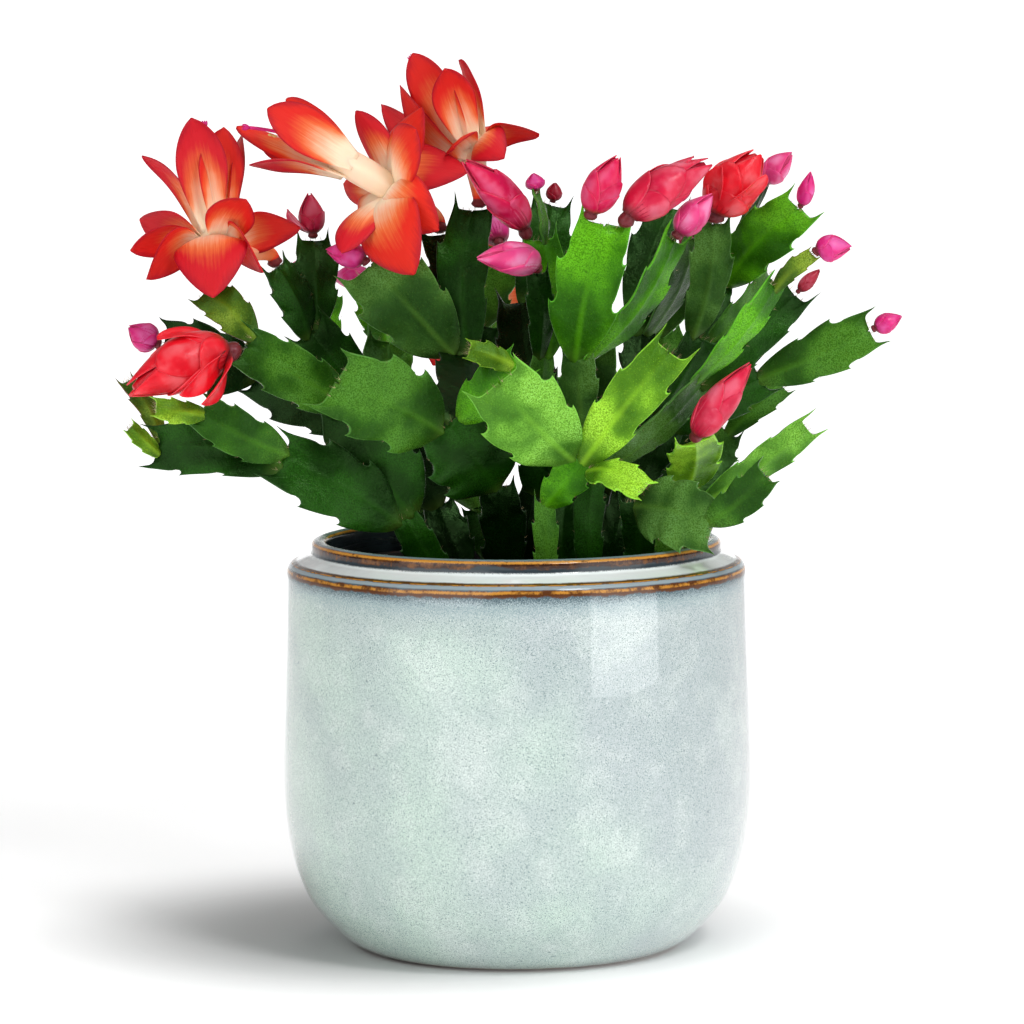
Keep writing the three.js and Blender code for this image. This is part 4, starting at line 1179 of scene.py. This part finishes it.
def stamen_tree(tree, given):
    """Threads along the given lines, each with a small pollen sac at its end."""
    make = maker(tree)
    lines = make("GeometryNodeMeshToCurve", None, {"Mesh": given["Geometry"]})
    section = make("GeometryNodeCurvePrimitiveCircle", None,
                   {"Resolution": 5, "Radius": given["Thread Radius"]})
    threads = make("GeometryNodeCurveToMesh", None,
                   {"Curve": lines, "Profile Curve": section, "Fill Caps": True})
    threads = make("GeometryNodeSetMaterial", None, {"Geometry": threads, "Material": given["Thread"]})
    ends = make("GeometryNodeCurveEndpointSelection", None, {"Start Size": 0, "End Size": 1})
    tangent = make("GeometryNodeInputTangent")
    turn = make("FunctionNodeAlignRotationToVector", {"axis": "X"}, {"Vector": tangent})
    sac = make("GeometryNodeMeshUVSphere", None,
               {"Segments": 8, "Rings": 6, "Radius": given["Sac Radius"]})
    shaped = make("GeometryNodeTransform", None, {"Geometry": sac, "Scale": (1.8, 1.0, 0.8)})
    marked = make("GeometryNodeStoreNamedAttribute", {"data_type": "BOOLEAN", "domain": "POINT"},
                  {"Geometry": lines, "Name": "at_end", "Value": ends})
    aimed = make("GeometryNodeStoreNamedAttribute", {"data_type": "QUATERNION", "domain": "POINT"},
                 {"Geometry": marked, "Name": "aim", "Value": turn})
    dots = make("GeometryNodeCurveToPoints", {"mode": "EVALUATED"}, {"Curve": aimed})
    kept = make("GeometryNodeInputNamedAttribute", {"data_type": "BOOLEAN"}, {"Name": "at_end"})
    aim = make("GeometryNodeInputNamedAttribute", {"data_type": "QUATERNION"}, {"Name": "aim"})
    sacs = make("GeometryNodeInstanceOnPoints", None, {
        "Points": dots, "Selection": kept, "Instance": shaped, "Rotation": aim,
    })
    real = make("GeometryNodeRealizeInstances", None, {"Geometry": sacs})
    real = make("GeometryNodeSetMaterial", None, {"Geometry": real, "Material": given["Pollen"]})
    whole = tree.nodes.new("GeometryNodeJoinGeometry")
    tree.links.new(threads, whole.inputs[0])
    tree.links.new(real, whole.inputs[0])
    return whole.outputs[0]


def stamens(name, thread, pollen):
    """The bundle of stamens round a bloom's style."""
    _, ring, mouth, style, _ = BLOOMS[name]
    mouth_point, end = seen(*mouth), seen(*style)
    way = unit(mouth_point - seen(*ring))
    control = mouth_point + way * 0.5 * np.linalg.norm(end - mouth_point)
    draw = draws_from(len(name) * 101)
    points, edges = [], []
    count = 14
    for number in range(count):
        angle = number * 2.4
        reach = 0.8 + 0.9 * (number / count) ** 0.5
        long = 0.5 + 0.22 * next(draw)
        t = np.linspace(0, long, 9)
        centres, along = bend(mouth_point - way * 1.5, control, end, t)
        first, second = square_to(along)
        outward = first * math.cos(angle) + second * math.sin(angle)
        lines = centres + outward * (reach * (0.4 + 0.9 * t))[:, None]
        base = len(points)
        points.extend(lines)
        edges.extend((base + i, base + i + 1) for i in range(len(t) - 1))
    mesh = bpy.data.meshes.new(name + "_lines")
    mesh.from_pydata((np.array(points) * MM).tolist(), edges, [])
    holder = placed(name + "_lines", mesh)
    settings = {"Thread Radius": 0.00022, "Sac Radius": 0.00048, "Thread": thread, "Pollen": pollen}
    return repeats(name + "_stamens", holder, settings, stamen_tree)


# Finishes

# Heights of the glaze's lines: the shoulder's rust, the step's edge and the lip
SPECKLED_FROM = 111.5
BLUE_FROM = 116.8
BLUE_FULL = 120.4
RUST_LINE = 121.1
STEP_FROM = 122.2
STEP_EDGE = 123.8
BAND_FROM = 124.0
BAND_END = 126.35
LIP_FROM = 127.4
LIP_GOLD = 130.0
LIP_TOP = 130.25

GLAZE = {
    "grey": (0.505, 0.575, 0.590),
    "green": (0.560, 0.720, 0.625),
    "cloud": (0.41, 0.495, 0.50),
    "light cloud": (0.76, 0.86, 0.81),
    "milk": (0.78, 0.86, 0.82),
    "grain": (0.32, 0.42, 0.41),
    "light grain": (0.86, 0.92, 0.89),
    "speck": (0.15, 0.23, 0.23),
    "pit": (0.10, 0.16, 0.17),
    "slate": (0.26, 0.37, 0.40),
    "blue": (0.045, 0.090, 0.115),
    "rust": (0.10, 0.030, 0.006),
    "gold": (0.62, 0.27, 0.035),
    "step": (0.30, 0.37, 0.40),
    "band": (0.88, 0.95, 0.94),
    "brown": (0.11, 0.045, 0.010),
    "fine gold": (0.60, 0.26, 0.03),
    "under lip": (0.030, 0.045, 0.055),
    "dark lip": (0.035, 0.009, 0.002),
    "brown lip": (0.20, 0.070, 0.010),
    "top": (0.19, 0.28, 0.30),
    "inside": (0.020, 0.032, 0.036),
    "foot": (0.20, 0.15, 0.11),
}


def glaze_on_wall(f, side, z, cloud, grain, specks):
    """The wall's grey and green, clouded and speckled."""
    drift = f.noise(20, detail=3)
    green = (side * -0.007 + 0.45 + (drift - 0.5) * 1.8 - (z - 60) * 0.004).step(0.15, 0.85)
    body = f.mix(green, GLAZE["grey"], GLAZE["green"])
    body = f.mix(cloud.step(0.44, 0.64) * 0.42, body, GLAZE["cloud"])
    body = f.mix(cloud.step(0.48, 0.34) * 0.4, body, GLAZE["light cloud"])
    body = f.mix(f.noise(90, detail=2).step(0.5, 0.75) * 0.35, body, GLAZE["milk"])
    body = f.mix(grain.step(0.46, 0.64) * 0.46, body, GLAZE["grain"])
    body = f.mix(grain.step(0.44, 0.3) * 0.5, body, GLAZE["light grain"])
    body = f.mix(specks.step(0.54, 0.66) * 0.85, body, GLAZE["speck"])
    pits = f.cells(210).step(0.12, 0.06) * f.noise(30).step(0.48, 0.62)
    return f.mix(pits * 0.6, body, GLAZE["pit"])


def glaze_on_rim(f, body, z, edge, wander, grain, specks):
    """What the glaze does on the rim: blue, rust and gold on the shoulder, the step and the lip."""
    speckled = edge + (grain - 0.5) * 5 + (specks - 0.5) * 6
    body = f.mix(speckled.step(SPECKLED_FROM, 119.0) * 0.75, body, GLAZE["slate"])
    body = f.mix(speckled.step(BLUE_FROM, BLUE_FULL) * 0.92, body, GLAZE["blue"])
    rust = f.noise(260, detail=3, rough=0.7)
    streak = (edge + (rust - 0.5) * 2.4).band(RUST_LINE, 0.75, 0.7)
    body = f.mix(streak, body, GLAZE["rust"])
    gold = (edge + (grain - 0.5) * 0.8).band(RUST_LINE + 0.4, 0.16, 0.5) * rust.step(0.36, 0.56)
    body = f.mix(gold * 0.9, body, GLAZE["gold"])
    body = f.mix((z + wander * 0.12).step(STEP_FROM, STEP_FROM + 0.5), body, GLAZE["step"])
    brown = (z + wander * 0.12 + (rust - 0.5) * 0.5).band(STEP_EDGE, 0.22, 0.3)
    body = f.mix((z + wander * 0.1).step(BAND_FROM, BAND_FROM + 0.5), body, GLAZE["band"])
    body = f.mix(brown, body, GLAZE["brown"])
    gold = (z + wander * 0.1).band(STEP_EDGE - 0.18, 0.05, 0.12) * rust.step(0.4, 0.55)
    body = f.mix(gold, body, GLAZE["fine gold"])
    under_lip = (z + wander * 0.25 + (grain - 0.5) * 0.7).step(BAND_END, BAND_END + 0.65)
    body = f.mix(under_lip, body, GLAZE["under lip"])
    pools = f.noise(34, detail=2)
    lip = z + wander * 0.3 + (rust - 0.5) * 1.6 - pools.step(0.56, 0.66) * 1.2
    lip = lip.step(LIP_FROM, LIP_FROM + 0.9)
    body = f.mix(lip, body, f.mix(rust.step(0.45, 0.7), GLAZE["dark lip"], GLAZE["brown lip"]))
    amber = (z + wander * 0.15 + (grain - 0.5) * 0.7).band(LIP_GOLD, 0.16, 0.4) * rust.step(0.25, 0.45)
    body = f.mix(amber, body, GLAZE["gold"])
    return f.mix((z + wander * 0.05).step(LIP_TOP, LIP_TOP + 0.35), body, GLAZE["top"])


def glaze_finish():
    """Pale grey-green glaze, speckled, which breaks brown and blue on the rim's edges."""
    f = Finish("glaze", specular_ior_level=0.4, coat_weight=1.0, coat_roughness=0.02, coat_ior=1.7)
    x, y, z = f.split(f.place())
    z = z * 1000
    radius = (x * x + y * y) ** 0.5 * 1000
    wander = (f.noise(60, detail=3) - 0.5) * 2
    cloud = f.noise(32, detail=4, rough=0.62)
    grain = f.noise(2200, detail=2, rough=0.7)
    specks = f.noise(3200, detail=1)
    edge = z + wander * 0.5
    body = glaze_on_wall(f, x * 1000, z, cloud, grain, specks)
    body = glaze_on_rim(f, body, z, edge, wander, grain, specks)
    inside = radius.step(62.6, 61.6) * z.step(20, 21) * z.step(130.2, 129.4)
    body = f.mix(inside, body, GLAZE["inside"])
    foot = (z + wander * 0.4).step(1.4, 0.7)
    body = f.mix(foot, body, GLAZE["foot"])
    bare = edge.step(118.0, 121.0) * edge.step(124.6, 123.9) + edge.step(126.0, 127.2)
    f.link("Coat Weight", bare.step(0.0, 1.0) * -0.85 + 1.0)
    rough = 0.12 + 0.1 * grain + foot * 0.5
    relief = f.noise(26, detail=2) * 11 + cloud * 8.0 + grain * 0.25
    return f.finish(body, rough, relief, 0.0002, 0.55)


def plastic_finish():
    """Dull black plastic, a little dusty."""
    f = Finish("black_plastic", specular_ior_level=0.4)
    grain = f.noise(1200, detail=2)
    color = f.mix(f.noise(60).step(0.4, 0.7) * 0.5, (0.012, 0.011, 0.011), (0.03, 0.027, 0.024))
    return f.finish(color, 0.42 + 0.15 * grain, grain, 0.00005)


def soil_finish():
    """Damp dark peat."""
    f = Finish("potting_soil", specular_ior_level=0.25)
    lumps = f.noise(300, detail=4, rough=0.7)
    color = f.mix(lumps.step(0.35, 0.7), (0.012, 0.007, 0.004), (0.065, 0.036, 0.02))
    return f.finish(color, 0.85 + 0.1 * lumps, lumps, 0.0006)


def crumb_finish():
    """Brown crumbs of different depth, with a pale grain here and there."""
    f = Finish("soil_crumb", specular_ior_level=0.25)
    shade = f.own("shade")
    grain = f.noise(900, detail=3, rough=0.6)
    color = f.mix(shade, (0.016, 0.009, 0.005), (0.085, 0.045, 0.022))
    color = f.mix(shade.step(0.955, 0.96), color, (0.50, 0.47, 0.42))
    color = f.mix(grain.step(0.45, 0.7) * 0.4, color, (0.02, 0.012, 0.008))
    return f.finish(color, 0.8 + 0.15 * grain, grain, 0.0003)


def pad_finish():
    """Waxy green skin: a lighter midrib, a pale edge that is partly painted edge light, fine grain and
    soft mottling, painted sheen in lighter blotches and sparkles, and painted shade towards each joint's
    foot.
    """
    f = Finish("pad_green", specular_ior_level=0.42, specular_tint=(0.34, 0.78, 0.24, 1.0),
               subsurface_weight=0.05, subsurface_scale=0.001)
    tone = f.own("tone", "Color")
    margin = f.own("margin", "Color")
    rim = f.own("rim")
    along = f.own("along")
    across = f.own("across")
    broad = f.noise(52, detail=2)
    mottle = f.noise(120, detail=3)
    patch = f.noise(360, detail=3, rough=0.6)
    grain = f.noise(2300, detail=2, rough=0.7)
    # The green made lighter, for lighter mottling and grain and for painted sheen, and made darker, for
    # darker patches and for painted shade.
    paler_tone_and_sheen = f.times(tone, 2.3, 1.9, 1.9)
    deeper_tone_and_shade = f.times(tone, 0.16, 0.26, 0.20)
    # Lighter blotches where the broad noise is high: painted sheen.
    color = f.mix(broad.step(0.46, 0.60) * 0.95, tone, paler_tone_and_sheen)
    color = f.mix(broad.step(0.52, 0.36) * 0.85, color, deeper_tone_and_shade)
    color = f.mix(mottle.step(0.5, 0.8) * 0.2, color, paler_tone_and_sheen)
    color = f.mix(patch.step(0.55, 0.3) * 0.12, color, deeper_tone_and_shade)
    # Darker towards each joint's foot, where it sits in the joint below: painted shade.
    color = f.mix(along.step(0.42, 0.0) * 0.6, color, deeper_tone_and_shade)
    grainy = f.times(tone, 0.50, 0.58, 0.50)
    # The green made much brighter, for painted sparkling highlights.
    painted_sheen = f.times(tone, 3.6, 2.6, 6.0)
    color = f.mix(grain.step(0.48, 0.66) * 0.75, color, grainy)
    color = f.mix(grain.step(0.46, 0.28) * 0.35, color, paler_tone_and_sheen)
    # Grain sparkles inside the broad lighter blotches: painted highlight.
    color = f.mix(broad.step(0.46, 0.64) * grain.step(0.54, 0.34) * 0.75, color, painted_sheen)
    rib = abs(across).step(1.6, 0.1) * along.step(1.0, 0.1)
    color = f.mix(rib * 0.45, color, f.times(tone, 2.6, 2.1, 1.8))
    color = f.mix(along.step(0.16, 0.0) * 0.25, color, (0.12, 0.20, 0.03))
    # The pale edge: partly the skin's own pale rim, partly painted edge light.
    edge = rim.step(0.962, 0.992) * (0.3 + 0.9 * patch)
    color = f.mix(edge, color, margin)
    relief = patch * 0.7 + grain * 0.4 + mottle * 1.4 + broad * 3
    rough = 0.15 + 0.14 * patch + broad.step(0.6, 0.4) * 0.05
    return f.finish(color, rough, relief, 0.0005, 0.6)


def petal_finish():
    """Thin petal: cream at its root, orange, then coral red at its edge and tip, in fine streaks."""
    f = Finish("petal", specular_ior_level=0.3, specular_tint=(1.0, 0.6, 0.45, 1.0),
               subsurface_weight=0.22, subsurface_scale=0.0025, subsurface_radius=(1.0, 0.35, 0.25))
    tone = f.own("tone", "Color")
    rim = f.own("rim")
    along = f.own("along")
    across = f.own("across")
    under = f.own("under")
    streaks = f.noise(1.0, f.joined(across * 1.6, along * 2.2, rim), detail=4, rough=0.65)
    cloud = f.noise(140, detail=2)
    depth = along * 1.06 + (rim**2.5) * 0.42 * along.step(0.06, 0.3) + (streaks - 0.5) * 0.34
    depth = depth + (cloud - 0.5) * 0.16 + under * 0.07
    color = f.mix(depth.step(0.20, 0.68), CREAM, ORANGE)
    color = f.mix(depth.step(0.50, 0.88), color, tone)
    color = f.mix(depth.step(0.94, 1.3) * 0.7, color, CRIMSON)
    color = f.mix(rim.step(0.88, 1.0) * along.step(0.12, 0.4) * 0.6, color, CRIMSON)
    color = f.mix(under * 0.22 * along.step(0.2, 0.6), color, CRIMSON)
    relief = streaks * 1.0 + cloud * 0.6
    return f.finish(color, 0.42 + 0.12 * cloud, relief, 0.0003, 0.5)


def bud_finish():
    """Wrapped petals: magenta or rose, with pale edges and streaks and a dark foot; each petal painted
    darker towards its foot, where it tucks under the layer outside, as painted shade, and with a painted
    highlight in its middle.
    """
    f = Finish("bud", specular_ior_level=0.36, specular_tint=(1.0, 0.7, 0.75, 1.0),
               subsurface_weight=0.2, subsurface_scale=0.002, subsurface_radius=(1.0, 0.35, 0.3))
    tone = f.own("tone", "Color")
    rim = f.own("rim")
    along = f.own("along")
    scale = f.own("scale")
    streaks = f.noise(420, detail=3, rough=0.6)
    cloud = f.noise(130, detail=2)
    # Darker towards each petal's foot, where it tucks under the layer outside it: painted shade.
    color = f.mix(scale.step(0.45, 0.02) * 0.75, tone, f.times(tone, 0.50, 0.35, 0.40))
    # A lighter tone, for the pale streaks and for the painted highlight.
    streak_and_highlight_tone = f.mix(0.35, f.times(tone, 1.15, 8.0, 3.2), BUD_PALE)
    # A pale patch in each petal's middle, away from its foot and edges: painted highlight.
    pale = cloud.step(0.42, 0.66) * rim.step(0.95, 0.2) * scale.step(0.15, 0.6)
    color = f.mix(pale * 0.6, color, streak_and_highlight_tone)
    color = f.mix(streaks.step(0.52, 0.7) * 0.15, color, streak_and_highlight_tone)
    color = f.mix(rim.step(0.94, 1.0) * scale.step(0.05, 0.3) * 0.16, color, BUD_PALE)
    color = f.mix(cloud.step(0.5, 0.3) * 0.35, color, f.times(tone, 0.62, 0.30, 0.45))
    color = f.mix((along + (cloud - 0.5) * 0.1).step(0.34, 0.2), color, OVARY_RED)
    return f.finish(color, 0.26 + 0.08 * cloud, streaks * 0.6 + cloud, 0.0004, 0.45)


def style_finish():
    """Waxy magenta."""
    f = Finish("style", specular_ior_level=0.4, subsurface_weight=0.2, subsurface_scale=0.002)
    cloud = f.noise(500, detail=2)
    color = f.mix(cloud, MAGENTA, (0.60, 0.010, 0.20))
    return f.finish(color, 0.4 + 0.1 * cloud, cloud, 0.0001)


def thread_finish():
    """Pale pink threads."""
    f = Finish("stamen_thread", specular_ior_level=0.3, subsurface_weight=0.2, subsurface_scale=0.002)
    cloud = f.noise(300, detail=2)
    color = f.mix(cloud.step(0.3, 0.7), (0.93, 0.80, 0.74), (0.90, 0.50, 0.50))
    return f.finish(color, 0.45 + 0.1 * cloud)


def pollen_finish():
    """Dusty yellow."""
    f = Finish("pollen", specular_ior_level=0.2)
    grain = f.noise(3000, detail=2)
    color = f.mix(grain, (0.62, 0.38, 0.08), (0.86, 0.68, 0.30))
    return f.finish(color, 0.8 + 0.1 * grain, grain, 0.0001)


def bristle_finish():
    """Dry brown hairs."""
    f = Finish("areole_bristle", specular_ior_level=0.3)
    cloud = f.noise(400, detail=1)
    color = f.mix(cloud.step(0.3, 0.7), (0.50, 0.40, 0.22), (0.20, 0.13, 0.06))
    return f.finish(color, 0.6 + 0.1 * cloud)


def floor_finish():
    """White paper, kept white by a soft glow, but for a painted shadow left of the pot: there the glow
    fades out and the paper is painted darker.
    """
    f = Finish("floor", specular_ior_level=0.0, emission_strength=1.0)
    x, y, z = f.split(f.place())
    cloud = f.noise(2, detail=1)
    # The distance from the middle of the painted shadow left of the pot
    shade = (((x + 0.035) / 0.120) ** 2 + ((y - 0.02) / 0.115) ** 2) ** 0.5
    far = (x * x + y * y) ** 0.5
    glow_but_painted_shadow = f.mix(shade.step(0.45, 1.3), (0, 0, 0), (0.50, 0.50, 0.50))
    behind = (abs(x) / (abs(y) + 0.3)).step(0.36, 0.25) * y.step(0.0, 0.3)
    glow = f.mix(far.step(0.25, 1.0), glow_but_painted_shadow, f.mix(behind, (0.5, 0.5, 0.5), (1.0, 1.0, 1.0)))
    glow = f.mix(z.step(0.45, 0.9), glow, (0.2, 0.2, 0.2))
    f.link("Emission Color", glow)
    # The paper painted darker inside that patch: a painted shadow.
    paper_with_painted_shadow = f.mix(shade.step(0.2, 1.1), (0.60, 0.60, 0.60), (0.93, 0.93, 0.93))
    return f.finish(f.mix(cloud * 0.02, paper_with_painted_shadow, (0.95, 0.95, 0.95)), 0.9 + 0.02 * cloud)


# The stage

FLOOR_FRONT = -5000
FLOOR_BEND = 3000
FLOOR_BEND_RADIUS = 3000
FLOOR_HALF_WIDTH = 7000
FLOOR_THICK = 20
SKY = 0.17

# Lights, in metres: place, what it faces, width, height, and how bright each part of it is
LIGHTS = {
    "key": ((0.52, -0.40, 0.525), (0, 0, 0.525), 0.42, 0.98, 1.6),
    "top": ((0.10, 0.15, 1.00), (0, 0, 0.12), 0.8, 0.7, 1.2),
    "spark": ((0.47, -0.72, 0.95), (0, 0, 0.15), 0.24, 0.24, 21),
    "fill": ((-0.80, -0.95, 0.62), (0, 0, 0.12), 1.3, 1.2, 1.6),
}


def studio_floor(finish):
    """A pale floor that curves up behind the plant."""
    rows = []
    for v in np.linspace(0, 1, 40):
        if v < 0.5:
            rows.append((FLOOR_FRONT + (FLOOR_BEND - FLOOR_FRONT) * 2 * v, 0))
        else:
            angle = (v - 0.5) * math.pi
            rows.append((FLOOR_BEND + FLOOR_BEND_RADIUS * math.sin(angle),
                         FLOOR_BEND_RADIUS * (1 - math.cos(angle))))
    across = np.linspace(-FLOOR_HALF_WIDTH, FLOOR_HALF_WIDTH, 12)
    top = np.array([[(x, y, z) for x in across] for y, z in rows])
    piece = Piece()
    piece.add(*blade(top, top - np.array((0, 0, FLOOR_THICK))))
    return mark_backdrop(piece.build("studio_floor", finish))


def soft_light(name, place, target, width, height, radiance):
    """An even rectangle of light; its power follows from how bright each part of it is."""
    light = bpy.data.lights.new(name, "AREA")
    light.shape = "RECTANGLE"
    light.size = width
    light.size_y = height
    light.energy = radiance * math.pi * width * height
    lamp = placed(name, light)
    lamp.location = Vector(place)
    lamp.rotation_euler = (Vector(target) - Vector(place)).to_track_quat("-Z", "Y").to_euler()


def studio():
    """A weak white sky and four soft lights."""
    world = bpy.data.worlds.new("studio")
    world.use_nodes = True
    ground = world.node_tree.nodes["Background"]
    ground.inputs["Color"].default_value = (1, 1, 1, 1)
    ground.inputs["Strength"].default_value = SKY
    bpy.context.scene.world = world
    for name, (place, target, width, height, radiance) in LIGHTS.items():
        soft_light(name, place, target, width, height, radiance)


def camera():
    """The eye that sees the plant as in the photograph."""
    lens = bpy.data.cameras.new("camera")
    lens.lens = LENS
    lens.sensor_width = SENSOR
    lens.clip_end = 100
    eye = placed("camera", lens)
    tilt = Matrix.Rotation(math.radians(90 - EYE_PITCH), 4, "X")
    roll = Matrix.Rotation(math.radians(EYE_ROLL), 4, "Z")
    spot = Matrix.Translation(Vector((EYE_SIDE, -EYE_DISTANCE, EYE_HEIGHT)) * MM)
    eye.matrix_world = spot @ tilt @ roll
    bpy.context.scene.camera = eye


def keep(piece, slot, *nodes):
    """The piece rides with the plant and stands for the nodes, which are hidden; the slot is not used."""
    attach(piece, "root")
    if nodes:
        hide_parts(*nodes)


def main():
    """Sets the stage and makes every piece."""
    bpy.context.scene.view_settings.view_transform = "Standard"
    camera()
    studio()
    studio_floor(floor_finish())
    place_pads()
    keep(turned("planter", pot_outline(), glaze_finish()), "glaze", "glazed_pot")
    keep(turned("nursery_pot", plastic_outline(), plastic_finish(), 96), "black_plastic", "plastic_pot")
    keep(soil_skin(soil_finish()), "potting_soil", "potting_soil")
    keep(soil_crumbs(crumb_finish()), "potting_soil")
    skin = pad_finish()
    for name in STEMS:
        keep(stem_skin(name, skin), "pad_green", name)
    keep(areole_bristles(bristle_finish()), "pad_green")
    petal, style, thread, pollen = petal_finish(), style_finish(), thread_finish(), pollen_finish()
    for name in BLOOMS:
        keep(bloom_skin(name, petal), "petal_coral", name)
        keep(style_skin(name, style), "style_magenta", name + "_style")
        keep(stamens(name, thread, pollen), "petal_coral")
    bud = bud_finish()
    for name in BUDS:
        keep(bud_skin(name, bud), "bud_pink", name)


main()
